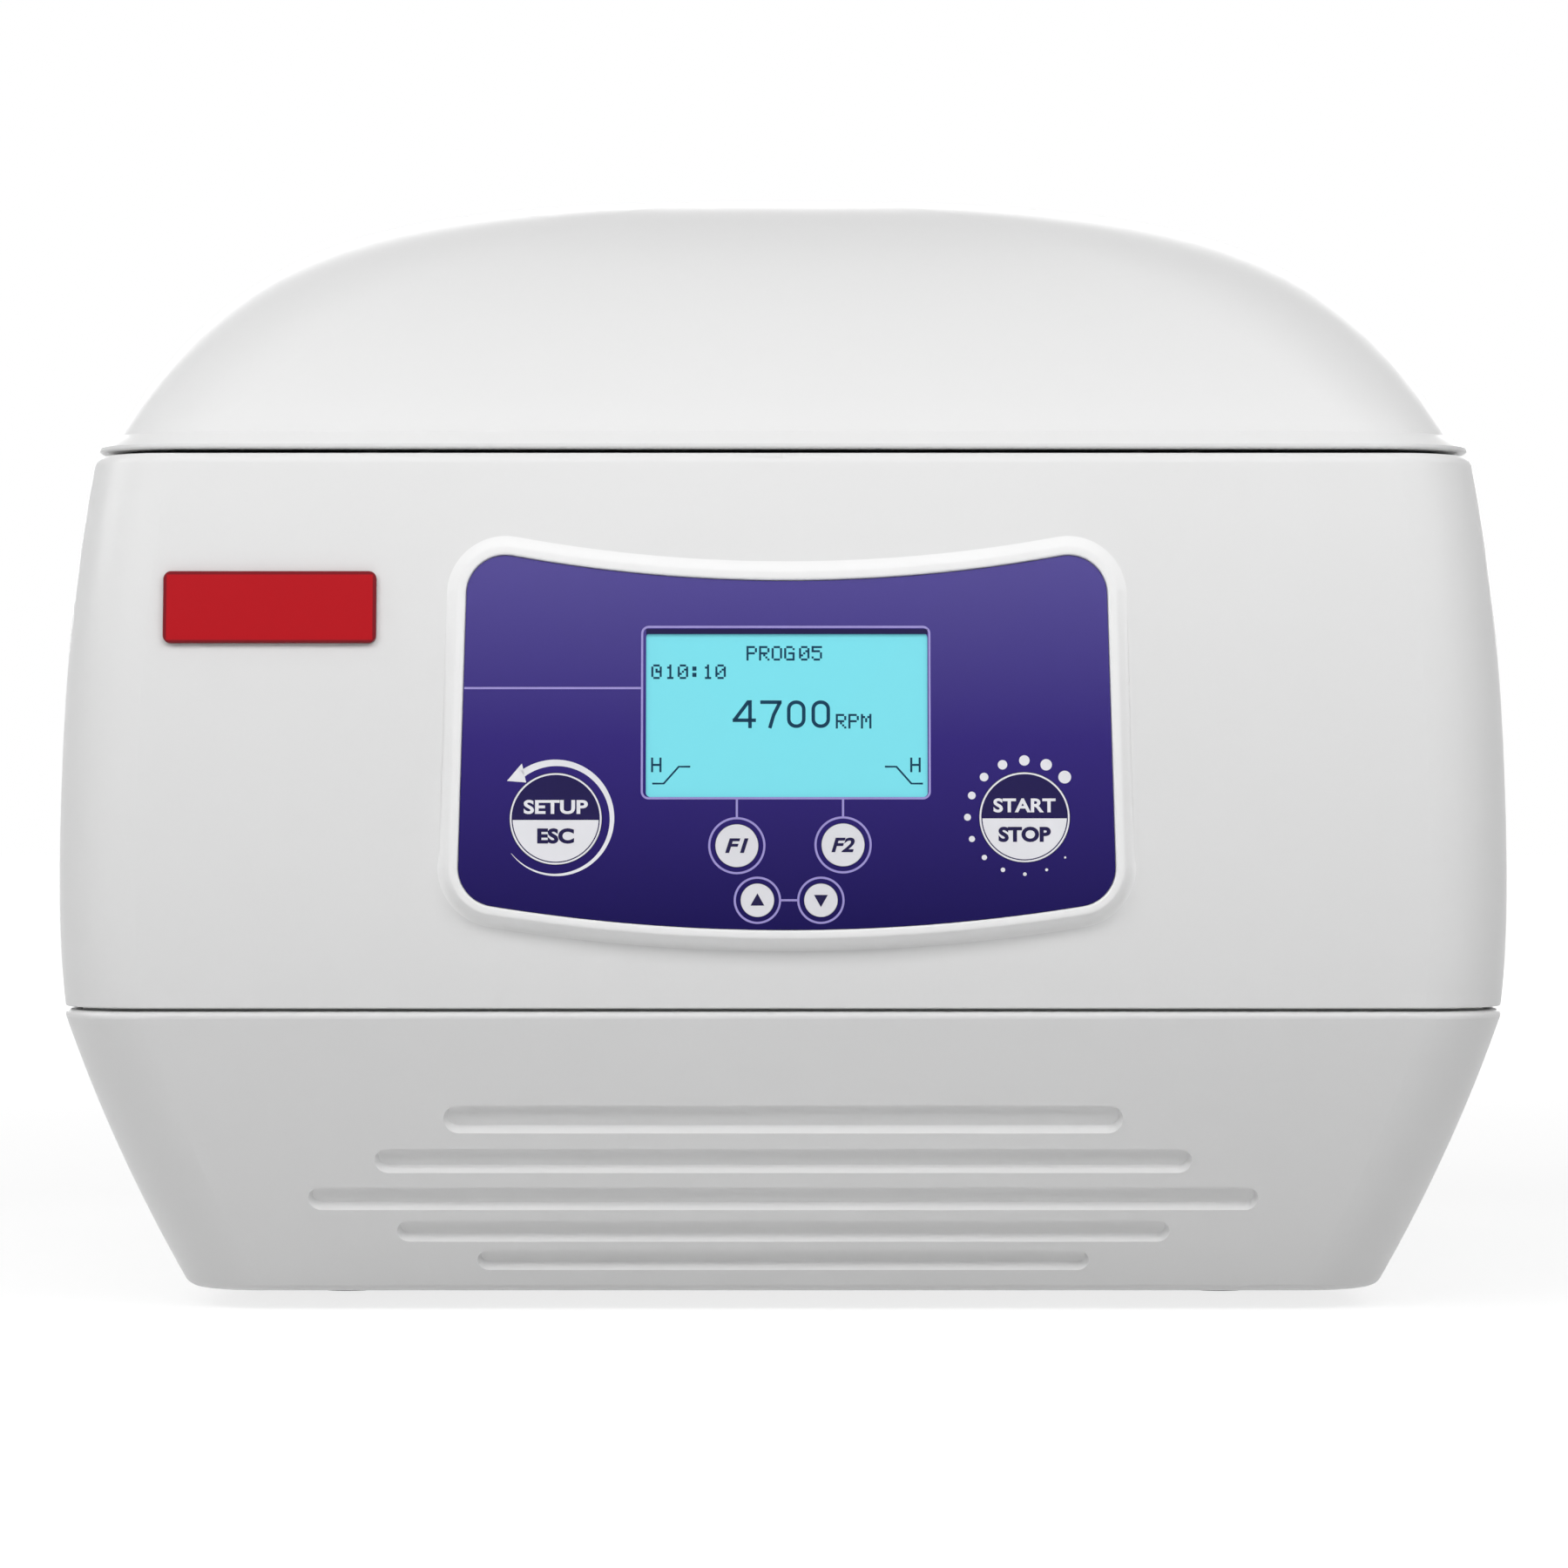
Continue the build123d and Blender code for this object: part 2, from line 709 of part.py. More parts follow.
def on_panel(shape):
    """Moves a shape drawn in panel coordinates onto the leaning panel."""
    return panel_plane.location * shape


overlay_front_w = -overlay_recess
overlay_back_w = overlay_front_w - overlay_thickness
key_stem_end_w = overlay_front_w - key_thickness - key_stem_length
switch_top_w = key_stem_end_w - switch_gap
board_front_w = switch_top_w - switch_height
board_back_w = board_front_w - keypad_board_thickness
glass_back_w = overlay_back_w - display_glass_thickness


def make_panel_bezel():
    """The white frame round the overlay, with a flange behind the wall and a ledge for the overlay."""
    body = extrude(Pos(0, 0, -bezel_depth) * panel_outline(bezel_width), bezel_depth)
    body = fillet(body.edges().group_by(Axis.Z)[-1], bezel_edge_radius)
    body -= extrude(Pos(0, 0, overlay_back_w) * panel_outline(), 10)
    body -= extrude(Pos(0, 0, -bezel_depth - 1) * panel_outline(-bezel_ledge), bezel_depth + 2)
    board_pocket = Pos(0, 0, -bezel_depth - 1) * panel_outline(-board_ledge)
    body -= extrude(board_pocket, board_front_w + bezel_depth + 1)
    flange = extrude(Pos(0, 0, -bezel_depth) * panel_outline(bezel_width + bezel_flange_width), bezel_depth)
    flange -= extrude(Pos(0, 0, -bezel_depth - 1) * panel_outline(bezel_width / 2), bezel_depth + 2)
    inside = cabinet_block(upper_bottom_z, deck_underside_z, wall + bezel_flange_gap, 5)
    return on_panel(body) + (on_panel(flange) & inside)


def make_panel_overlay():
    """The printed front film, pierced by the display window and the keys."""
    film = extrude(Pos(0, 0, overlay_back_w) * panel_outline(-overlay_fit), overlay_thickness)
    window = RectangleRounded(window_width, window_height, window_corner)
    window = Pos(0, window_v, overlay_back_w - 1) * window
    film -= extrude(window, overlay_thickness + 2)
    for u, v, radius in keys.values():
        film -= rod_z(radius + key_clearance, overlay_back_w - 1, 1, u, v)
    return on_panel(film)


def make_lcd_glass():
    """The clear pane behind the film's window."""
    width, height = window_width + 2 * display_glass_margin, window_height + 2 * display_glass_margin
    low_u, low_v = -width / 2, window_v - height / 2
    return on_panel(block(low_u, low_u + width, low_v, low_v + height, glass_back_w, overlay_back_w))


def make_lcd_module():
    """The display in its metal frame, between the pane and the board."""
    front = glass_back_w
    low_v = window_v - display_module_height / 2
    half = display_module_width / 2
    return on_panel(block(-half, half, low_v, low_v + display_module_height, board_front_w, front))


def make_keypad_board():
    """The circuit board behind the keys, held inside the bezel."""
    board = Pos(0, 0, board_back_w) * panel_outline(-board_ledge - board_fit)
    return on_panel(extrude(board, keypad_board_thickness))


def make_key_switches():
    """One press switch under each key."""
    half = switch_size / 2
    boxes = [
        on_panel(block(u - half, u + half, v - half, v + half, board_front_w, switch_top_w))
        for u, v, radius in keys.values()
    ]
    return group(boxes)


def make_key(name):
    """A round key cap with a stem behind it."""
    u, v, radius = keys[name]
    cap = rod_z(radius, overlay_front_w - key_thickness, overlay_front_w, u, v)
    stem = rod_z(key_stem_radius, key_stem_end_w, overlay_front_w - key_thickness, u, v)
    return on_panel(cap + stem)


def make_badge_plate():
    """A plain plate bonded to the face, left of the panel, and leaning as the face does there."""
    slope = face_y(badge_z + 0.5) - face_y(badge_z - 0.5)
    normal = Vector(0, -1, slope).normalized()
    seat = Plane(origin=(badge_x, face_y(badge_z) - badge_bond, badge_z), x_dir=(1, 0, 0), z_dir=normal)
    plate = extrude(RectangleRounded(badge_width, badge_height, badge_corner), badge_thickness)
    plate = fillet(plate.edges().group_by(Axis.Z)[-1], badge_thickness / 3)
    return seat.location * plate


# ------------------------------------------------------------------ lid
def dome_share(share, power):
    """The half-width left at a share of the dome's height, as a share of the half-width at its foot."""
    return (1 - share**lid_rise_power) ** (1 / power)


def lid_outline(share, inset):
    """The lid's outline at a share of its height, drawn in by inset."""
    half_width = lid_half_width * dome_share(share, lid_side_power) - inset
    front = lid_crest_y - (lid_crest_y - lid_front_y) * dome_share(share, lid_front_power) + inset
    rear = lid_crest_y + (lid_rear_y - lid_crest_y) * dome_share(share, lid_rear_power) - inset
    radius = min(corner_radius + lid_corner_growth * share - inset, 0.9 * half_width, 0.45 * (rear - front))
    height = (lid_height - inset) * share
    return outline(lid_bottom_z + height, half_width, front, rear, radius)


def lid_block(inset):
    """The solid under the dome, drawn in by inset."""
    return loft([lid_outline(share, inset) for share in lid_levels])


def lid_brim():
    """A lip round the foot that slopes up into the dome, and is almost flush with it at the back."""
    half_width = lid_half_width + lid_brim_reach
    front, rear = lid_front_y - lid_brim_reach, lid_rear_y + lid_brim_rear_reach
    foot = outline(lid_bottom_z, half_width, front, rear, corner_radius + lid_brim_reach)
    lip = extrude(foot, lid_brim_thickness)
    lip = fillet(lip.edges().group_by(Axis.Z)[0], lid_edge_radius)
    top = lid_outline(lid_brim_height / lid_height, lid_brim_sink)
    return lip + loft([Pos(0, 0, lid_brim_thickness) * foot, top])


crown_z = lid_bottom_z + lid_height * lid_levels[-1]
crown_inner_z = lid_bottom_z + (lid_height - lid_wall) * lid_levels[-1]
port_tube_radius = view_port_radius + view_port_tube_wall
lens_bottom_z = crown_z + view_port_flange_height - view_port_lens_sink - view_port_lens_thickness


def liner_screw_places():
    return corners(liner_screw_x, liner_screw_front_y, liner_screw_rear_y)


def make_lid_shell():
    """The domed cover, open below, with bosses, a view port hole and notches for the hinge arms."""
    shell = lid_block(0.0) + lid_brim() - lid_block(lid_wall)
    posts = Part() + [rod_z(liner_boss_radius, liner_top_z, crown_z, x, y) for x, y in liner_screw_places()]
    shell += posts & lid_block(lid_wall / 2)
    for x, y in liner_screw_places():
        shell -= rod_z(screw_shank_radius + 0.1, liner_top_z - 1, liner_top_z + liner_screw_grip + 1, x, y)
    shell -= rod_z(port_tube_radius + 0.1, crown_inner_z - 5, crown_z + 5, 0, chamber_y)
    for side in (-1, 1):
        x = side * hinge_x
        half = hinge_knuckle_half_width + hinge_notch_gap
        top = liner_top_z + hinge_arm_thickness + hinge_notch_gap
        notch_y = lid_rear_y - hinge_notch_depth
        shell -= block(x - half, x + half, notch_y, lid_rear_y + 2, lid_bottom_z - 1, top)
    return shell


def make_lid_liner():
    """The plate that closes the lid below, dished down over the chamber's seal."""
    edge = lid_outline(0.0, lid_wall + liner_edge_gap)
    plate = extrude(Pos(0, 0, liner_clearance) * edge, liner_thickness)
    dish = rod_z(dish_radius, dish_bottom_z, liner_bottom_z, 0, chamber_y)
    plate += dish
    hollow = dish_radius - liner_thickness
    plate -= rod_z(hollow, dish_bottom_z + liner_thickness, liner_top_z + 1, 0, chamber_y)
    plate -= rod_z(view_port_radius, dish_bottom_z - 1, liner_top_z, 0, chamber_y)
    for x, y in liner_screw_places():
        plate -= rod_z(screw_shank_radius + 0.1, liner_bottom_z - 1, liner_top_z + 1, x, y)
    return plate


def make_view_port_bezel():
    """A flanged sleeve from the crown down to the liner."""
    flange = rod_z(view_port_flange, crown_z, crown_z + view_port_flange_height, 0, chamber_y)
    flange = fillet(flange.edges().group_by(Axis.Z)[-1], view_port_flange_height / 2)
    sleeve = rod_z(port_tube_radius, dish_bottom_z + liner_thickness, crown_z, 0, chamber_y)
    bezel = flange + sleeve
    bezel -= rod_z(view_port_radius - view_port_lens_step, dish_bottom_z, crown_z + 10, 0, chamber_y)
    bezel -= rod_z(view_port_radius, lens_bottom_z, crown_z + 10, 0, chamber_y)
    return bezel


def make_view_port_lens():
    """The clear window in the sleeve's mouth."""
    radius = view_port_radius - view_port_lens_fit
    return rod_z(radius, lens_bottom_z, lens_bottom_z + view_port_lens_thickness, 0, chamber_y)


def make_liner_screws():
    """Flat-headed screws up through the liner into the lid's bosses."""
    screws = []
    for x, y in liner_screw_places():
        head = rod_z(liner_screw_head_radius, liner_bottom_z - liner_screw_head_height, liner_bottom_z, x, y)
        screws.append(head + rod_z(screw_shank_radius, liner_bottom_z, liner_top_z + liner_screw_grip, x, y))
    return group(screws)


def make_lid_strikers():
    """A steel staple under each front corner of the liner."""
    staples = []
    for side in (-1, 1):
        x = side * latch_x
        reach = striker_half_width
        staple = rod_x(striker_wire_radius, x - reach, x + reach, striker_y, striker_z)
        for leg in (-1, 1):
            corner = Pos(x + leg * reach, striker_y, striker_z) * Sphere(striker_wire_radius)
            staple += rod_z(striker_wire_radius, striker_z, liner_bottom_z, x + leg * reach, striker_y)
            staple += corner
        staples.append(staple)
    return group(staples)


# ------------------------------------------------------------------ hinge
def make_hinge_brackets():
    """Fixed hinge halves on the rear of the deck: a base with two eared knuckles each."""
    brackets = []
    for side in (-1, 1):
        x = side * hinge_x
        inner = hinge_knuckle_half_width + hinge_side_gap
        outer = inner + hinge_ear_thickness
        front = hinge_y - hinge_knuckle_radius
        bracket = block(x - outer, x + outer, front, hinge_base_rear_y, deck_z, deck_z + hinge_base_thickness)
        for ear in (-1, 1):
            x0, x1 = sorted((x + ear * inner, x + ear * outer))
            bracket += rod_x(hinge_knuckle_radius, x0, x1, hinge_y, hinge_z)
            bracket += block(x0, x1, front, hinge_y + hinge_knuckle_radius, deck_z, hinge_z)
        bore_radius = hinge_pin_radius + hinge_pin_clearance
        bracket -= rod_x(bore_radius, x - outer - 1, x + outer + 1, hinge_y, hinge_z)
        bracket -= rod_x(hinge_knuckle_radius + hinge_side_gap, x - inner, x + inner, hinge_y, hinge_z)
        brackets.append(bracket)
    return group(brackets)


def make_hinge_pins():
    """A headed pin through each hinge."""
    pins = []
    for side in (-1, 1):
        x = side * hinge_x
        outer = hinge_knuckle_half_width + hinge_side_gap + hinge_ear_thickness + 0.2
        pin = rod_x(hinge_pin_radius, x - outer, x + outer, hinge_y, hinge_z)
        pin += rod_x(hinge_pin_head_radius, x - outer - hinge_pin_head, x - outer, hinge_y, hinge_z)
        pin += rod_x(hinge_pin_head_radius, x + outer, x + outer + hinge_pin_head, hinge_y, hinge_z)
        pins.append(pin)
    return group(pins)


def make_hinge_arms():
    """Moving hinge halves, bolted on the liner inside the lid."""
    arms = []
    for side in (-1, 1):
        x, half = side * hinge_x, hinge_knuckle_half_width
        arm_top = liner_top_z + hinge_arm_thickness
        arm = block(x - half, x + half, hinge_arm_front_y, hinge_y, liner_top_z, arm_top)
        arm += rod_x(hinge_knuckle_radius, x - half, x + half, hinge_y, hinge_z)
        arm -= rod_x(hinge_pin_radius + hinge_pin_clearance, x - half - 1, x + half + 1, hinge_y, hinge_z)
        arms.append(arm)
    return group(arms)


# ------------------------------------------------------------------ latch
def make_latch_shaft():
    """The cross shaft that turns both hooks."""
    end = latch_plate_half_length + 2 + latch_motor_socket
    return rod_x(latch_shaft_radius, -latch_plate_half_length, end - 1, latch_pivot_y, latch_pivot_z)


def make_latch_hooks():
    """Two hooks on the shaft, held clear of the strikers until the lid is locked."""
    nose_bottom = striker_offset_z + striker_wire_radius + latch_hook_nose_gap
    nose_top = nose_bottom + latch_hook_nose_height
    arm_back = -latch_hook_arm_width + 1
    nose_tip = striker_offset_y + latch_hook_reach
    half = latch_hook_thickness / 2
    hooks = []
    for side in (-1, 1):
        x = side * latch_x
        hook = rod_x(latch_hub_radius, x - half, x + half, 0, 0)
        hook += block(x - half, x + half, arm_back, 1, 0, nose_top)
        hook += block(x - half, x + half, arm_back, nose_tip, nose_bottom, nose_top)
        hook -= rod_x(latch_shaft_radius + 0.02, x - half - 1, x + half + 1, 0, 0)
        hooks.append(Pos(0, latch_pivot_y, latch_pivot_z) * Rot(latch_throw, 0, 0) * hook)
    return group(hooks)


def make_latch_bracket():
    """A plate under the deck with four ears that carry the latch shaft."""
    half = latch_plate_half_length
    plate = block(
        -half, half, latch_plate_front_y, latch_plate_rear_y,
        deck_underside_z - latch_plate_thickness, deck_underside_z,
    )
    for side in (-1, 1):
        plate -= striker_slot(side, deck_underside_z - latch_plate_thickness - 1, deck_underside_z + 1)
        for x in (side * (latch_x - latch_ear_gap * 2), side * (half - latch_ear_thickness / 2)):
            x0, x1 = x - latch_ear_thickness / 2, x + latch_ear_thickness / 2
            ear_bottom = latch_pivot_z - latch_hub_radius
            y0, y1 = latch_pivot_y - latch_ear_half_width, latch_pivot_y + latch_ear_half_width
            plate += block(x0, x1, y0, y1, ear_bottom, deck_underside_z - 1)
    plate -= rod_x(latch_shaft_radius + running_clearance, -half - 1, half + 1, latch_pivot_y, latch_pivot_z)
    return plate


def make_latch_motor():
    """The small geared motor on the end of the latch shaft."""
    x0 = latch_plate_half_length + 0.2
    motor = rod_x(latch_motor_radius, x0, x0 + latch_motor_length, latch_pivot_y, latch_pivot_z)
    socket = latch_plate_half_length + 2 + latch_motor_socket
    motor -= rod_x(latch_shaft_radius + running_clearance, x0 - 1, socket, latch_pivot_y, latch_pivot_z)
    return motor


# ------------------------------------------------------------------ chamber
def make_chamber_bowl():
    """The stainless bowl, hung from its rim on the deck's ledge."""
    outer = bowl_radius + bowl_wall
    bowl = rod_z(outer, bowl_floor_z - bowl_wall, bowl_rim_top_z, 0, chamber_y)
    bowl += rod_z(bowl_radius + bowl_rim_width, bowl_rim_z, bowl_rim_top_z, 0, chamber_y)
    bowl -= rod_z(bowl_radius, bowl_floor_z, bowl_rim_top_z + 1, 0, chamber_y)
    bowl -= rod_z(boot_hole_radius, bowl_floor_z - 5, bowl_floor_z + 1, 0, chamber_y)
    return bowl


def make_bowl_rim_seal():
    """The rubber ring that the lid's dish closes on."""
    middle, half = (seal_inner_radius + seal_outer_radius) / 2, seal_bead_width / 2
    band_top = seal_top_z - seal_bead_height
    seal = ring_z(seal_outer_radius, seal_inner_radius, bowl_rim_top_z, band_top, 0, chamber_y)
    seal += ring_z(middle + half, middle - half, bowl_rim_top_z, seal_top_z, 0, chamber_y)
    return seal


def make_shaft_boot():
    """The rubber collar that closes the bowl's floor round the shaft."""
    top = bowl_floor_z + boot_height
    boot = rod_z(boot_hole_radius + 4, bowl_floor_z, bowl_floor_z + 2, 0, chamber_y)
    boot += rod_z(boot_hole_radius - 0.1, bowl_floor_z - bowl_wall - 1, bowl_floor_z + 2, 0, chamber_y)
    boot += rod_z(boot_hole_radius - 8, bowl_floor_z, top, 0, chamber_y)
    boot -= rod_z(shaft_radius + 1.5, bowl_floor_z - 10, top + 1, 0, chamber_y)
    return boot


def make_guard_ring():
    """The armour can round the bowl, with an open floor for the motor."""
    top = bowl_rim_z - guard_top_gap
    guard = ring_z(guard_outer_radius, guard_outer_radius - guard_wall, guard_floor_z, top, 0, chamber_y)
    guard += ring_z(guard_outer_radius - 1, guard_floor_hole, guard_floor_z, guard_floor_top_z, 0, chamber_y)
    return guard


def make_guard_standoffs():
    """Four posts from the chassis to the guard's floor."""
    spread = standoff_spread
    places = corners(spread, chamber_y - spread, chamber_y + spread)
    return group([rod_z(standoff_radius, chassis_top_z, guard_floor_z, x, y) for x, y in places])


# ------------------------------------------------------------------ drive
bearing_low_z = motor_bottom_z + motor_end_wall
bearing_high_z = motor_top_z - motor_end_wall - bearing_height
core_bottom_z = (motor_bottom_z + motor_top_z - stator_height) / 2


def make_motor_housing():
    """The motor's can, its bearing bosses and the square flange that it hangs from."""
    can = rod_z(motor_radius, motor_bottom_z, motor_top_z, 0, chamber_y)
    half = motor_flange_width / 2
    flange_top = motor_flange_z + motor_flange_thickness
    can += rounded_plate(
        -half, half, chamber_y - half, chamber_y + half, motor_flange_z, flange_top, motor_flange_corner
    )
    boss_radius = bearing_radius + bearing_boss_wall
    cavity = rod_z(motor_radius - motor_wall, bearing_low_z, motor_top_z - motor_end_wall, 0, chamber_y)
    for z in (bearing_low_z, bearing_high_z):
        cavity -= rod_z(boss_radius, z, z + bearing_height, 0, chamber_y)
    can -= cavity
    for z in (bearing_low_z, bearing_high_z):
        can -= rod_z(bearing_radius + 0.02, z, z + bearing_height, 0, chamber_y)
    can -= rod_z(shaft_radius + 1.5, bearing_high_z, motor_top_z + 1, 0, chamber_y)
    return can


def make_motor_stator():
    """The wound core inside the can."""
    outer = motor_radius - motor_wall - 0.1
    return ring_z(outer, stator_inner_radius, core_bottom_z, core_bottom_z + stator_height, 0, chamber_y)


def make_motor_bearings():
    """Two ball bearings on the drive shaft."""
    bore = shaft_radius + shaft_clearance
    return group(
        [
            ring_z(bearing_radius, bore, z, z + bearing_height, 0, chamber_y)
            for z in (bearing_low_z, bearing_high_z)
        ]
    )


def make_drive_shaft():
    """The shaft from the lower bearing to the lock nut."""
    return rod_z(shaft_radius, shaft_bottom_z, shaft_top_z, 0, chamber_y)


def make_motor_rotor():
    """The magnet core pressed on the shaft."""
    core_top_z = core_bottom_z + stator_height
    return ring_z(rotor_core_radius, shaft_radius + 0.02, core_bottom_z, core_top_z, 0, chamber_y)


def make_damper_mounts():
    """Rubber blocks between the chassis and the motor's flange."""
    places = corners(damper_spread, chamber_y - damper_spread, chamber_y + damper_spread)
    return group([rod_z(damper_radius, chassis_top_z, motor_flange_z, x, y) for x, y in places])


# ------------------------------------------------------------------ rotor
def make_rotor_hub():
    """The hub and the cross bar that carries the arms."""
    hub = rod_z(hub_radius, hub_bottom_z, hub_top_z, 0, chamber_y)
    reach = rotor_arm_inner
    bar_top = rotor_bar_bottom_z + rotor_bar_height
    hub += block(
        -hub_bar_half_width, hub_bar_half_width, chamber_y - reach, chamber_y + reach,
        rotor_bar_bottom_z, bar_top,
    )
    return hub - rod_z(shaft_radius + 0.02, hub_bottom_z - 1, hub_top_z + 1, 0, chamber_y)


def make_rotor_arms():
    """Two arms with the trunnion holes, one on each end of the cross bar."""
    arms = []
    reach = trunnion_reach + rotor_arm_overhang
    bar_top = rotor_bar_bottom_z + rotor_bar_height
    for side in (-1, 1):
        y0, y1 = sorted((chamber_y + side * rotor_arm_inner, chamber_y + side * rotor_arm_outer))
        arm = block(-reach, reach, y0, y1, rotor_bar_bottom_z, bar_top)
        arm = fillet(arm.edges().filter_by(Axis.Y), rotor_bar_height / 2 - 0.5)
        for x in (-trunnion_reach, trunnion_reach):
            arm -= rod_y(trunnion_radius + 0.02, y0 - 1, y1 + 1, x, trunnion_z)
        arms.append(arm)
    return group(arms)


def make_trunnion_pins():
    """Four pins that reach in through the carriers' ears."""
    pins = []
    for side in (-1, 1):
        y0, y1 = sorted((chamber_y + side * (carrier_half_y + 0.5), chamber_y + side * rotor_arm_outer))
        for x in (-trunnion_reach, trunnion_reach):
            pins.append(rod_y(trunnion_radius, y0, y1, x, trunnion_z))
    return group(pins)


def make_rotor_nut():
    """The fluted knob that holds the rotor on its shaft."""
    bottom = hub_top_z + nut_running_gap
    nut = rod_z(nut_radius, bottom, bottom + nut_height, 0, chamber_y)
    nut = fillet(nut.edges().group_by(Axis.Z)[-1], 2.0)
    for i in range(nut_flutes):
        angle = 2 * pi * i / nut_flutes
        x, y = nut_radius * cos(angle), chamber_y + nut_radius * sin(angle)
        nut -= rod_z(nut_flute_radius, bottom - 1, bottom + nut_height + 1, x, y)
    return nut - rod_z(shaft_radius + running_clearance, bottom - 1, shaft_top_z + 1, 0, chamber_y)


def make_plate_carrier(side):
    """A tray for one microplate, hung from two ears."""
    x, y = side * trunnion_reach, chamber_y
    bottom = trunnion_z - carrier_floor_drop
    top = bottom + carrier_wall_height
    tray = rounded_plate(
        x - carrier_half_x, x + carrier_half_x, y - carrier_half_y, y + carrier_half_y, bottom, top, 3.0
    )
    inner_x, inner_y = carrier_half_x - carrier_wall, carrier_half_y - carrier_wall
    floor_top = bottom + carrier_floor_thickness
    tray -= rounded_plate(x - inner_x, x + inner_x, y - inner_y, y + inner_y, floor_top, top + 1, 1.5)
    for end in (-1, 1):
        y0, y1 = sorted((y + end * carrier_half_y, y + end * carrier_ear_outer))
        half, rise = carrier_ear_half_width, trunnion_z + carrier_ear_rise
        ear = block(x - half, x + half, y0, y1, bottom, rise)
        tray += fillet(ear.edges().filter_by(Axis.Y).group_by(Axis.Z)[-1], carrier_ear_rise - 1)
        tray -= rod_y(trunnion_radius + trunnion_clearance, y0 - 1, y1 + 1, x, trunnion_z)
    return tray


# ------------------------------------------------------------------ rear panel
def make_rear_panel():
    """A steel plate over the rear opening, pierced for the fan, the inlet, the switch and the fuses."""
    width = 2 * (rear_opening_half_width + rear_panel_overlap)
    height = rear_opening_top_z - rear_opening_bottom_z + 2 * rear_panel_overlap
    middle = (rear_opening_top_z + rear_opening_bottom_z) / 2
    y0, y1 = rear_panel_inner_y, rear_panel_outer_y
    plate = upright_plate(0, middle, width, height, y0, y1, rear_panel_corner)
    plate -= rod_y(fan_bore_radius, y0 - 1, y1 + 1, fan_x, fan_z)
    hole_width, hole_height = inlet_body_width + 2 * cutout_fit, inlet_body_height + 2 * cutout_fit
    plate -= upright_plate(inlet_x, inlet_z, hole_width, hole_height, y0 - 1, y1 + 1, 2.0)
    frame_width = rocker_frame_width - 2 * rocker_frame_border + 2 * cutout_fit
    frame_height = rocker_frame_height - 2 * rocker_frame_border + 2 * cutout_fit
    plate -= upright_plate(rocker_x, rocker_z, frame_width, frame_height, y0 - 1, y1 + 1, 1.0)
    for z in fuse_heights():
        plate -= rod_y(fuse_body_radius + cutout_fit, y0 - 1, y1 + 1, fuse_x, z)
    for x, z in rear_screw_places():
        plate -= rod_y(screw_shank_radius + cutout_fit, y0 - 1, y1 + 1, x, z)
    return plate


def fuse_heights():
    return (rocker_z - fuse_pitch / 2, rocker_z + fuse_pitch / 2)


def rear_screw_places():
    """Screws along the plate's upper and lower edges, into the shell's wall."""
    inset = rear_panel_overlap / 2
    x = rear_opening_half_width - rear_screw_margin
    z0, z1 = rear_opening_bottom_z - inset, rear_opening_top_z + inset
    return [(sx, z) for sx in (-x, 0, x) for z in (z0, z1)]


def make_rear_panel_screws():
    """Pan-headed screws that hold the rear panel."""
    screws = []
    for x, z in rear_screw_places():
        y = rear_panel_outer_y
        screw = rod_y(screw_head_radius, y, y + screw_head_height, x, z)
        screw = fillet(screw.edges().group_by(Axis.Y)[-1], screw_head_height / 2)
        screws.append(screw + rod_y(screw_shank_radius, rear_panel_inner_y, y, x, z))
    return group(screws)


def make_power_inlet():
    """The mains inlet: a flanged socket with three blades."""
    y0, y1 = rear_panel_outer_y, rear_panel_outer_y + inlet_flange_thickness
    body_y = y1 - inlet_depth
    socket = upright_plate(inlet_x, inlet_z, inlet_flange_width, inlet_flange_height, y0, y1, 6.0)
    socket += upright_plate(inlet_x, inlet_z, inlet_body_width, inlet_body_height, body_y, y0, 2.0)
    floor_y = y1 - inlet_cavity_depth
    socket -= upright_plate(
        inlet_x, inlet_z, inlet_cavity_width, inlet_cavity_height, floor_y, y1 + 1, 3.0
    )
    blades = []
    across, along = inlet_pin_size
    for dx, dz, w, h in (
        (-inlet_pin_pitch / 2, inlet_earth_drop / 2, across, along),
        (inlet_pin_pitch / 2, inlet_earth_drop / 2, across, along),
        (0.0, -inlet_earth_drop / 2, across, along),
    ):
        x, z = inlet_x + dx, inlet_z + dz
        blades.append(block(x - w / 2, x + w / 2, floor_y, floor_y + inlet_pin_length, z - h / 2, z + h / 2))
    return group([socket] + blades)


def make_fuse_holders():
    """Two screw-capped fuse holders."""
    holders = []
    for z in fuse_heights():
        y0, y1 = rear_panel_outer_y, rear_panel_outer_y + fuse_cap_proud
        cap = rod_y(fuse_cap_radius, y0, y1, fuse_x, z)
        cap = fillet(cap.edges().group_by(Axis.Y)[-1], 1.0)
        cap -= block(fuse_x - 4, fuse_x + 4, y1 - 1.2, y1 + 1, z - 0.7, z + 0.7)
        holders.append(cap + rod_y(fuse_body_radius, y0 - fuse_body_depth, y0, fuse_x, z))
    return group(holders)


rocker_pivot_y = rear_panel_outer_y + rocker_frame_proud - rocker_sink
rocker_inner_width = rocker_frame_width - 2 * rocker_frame_border
rocker_inner_height = rocker_frame_height - 2 * rocker_frame_border
rocker_half_width = rocker_inner_width / 2 - rocker_side_wall


def rocker_drum(radius, half_width, half_height):
    """A drum along X about the rocker's pivot, cut flat above and below."""
    drum = rod_x(radius, rocker_x - half_width, rocker_x + half_width, 0, 0)
    return drum & block(rocker_x - 50, rocker_x + 50, -radius - 1, radius + 1, -half_height, half_height)


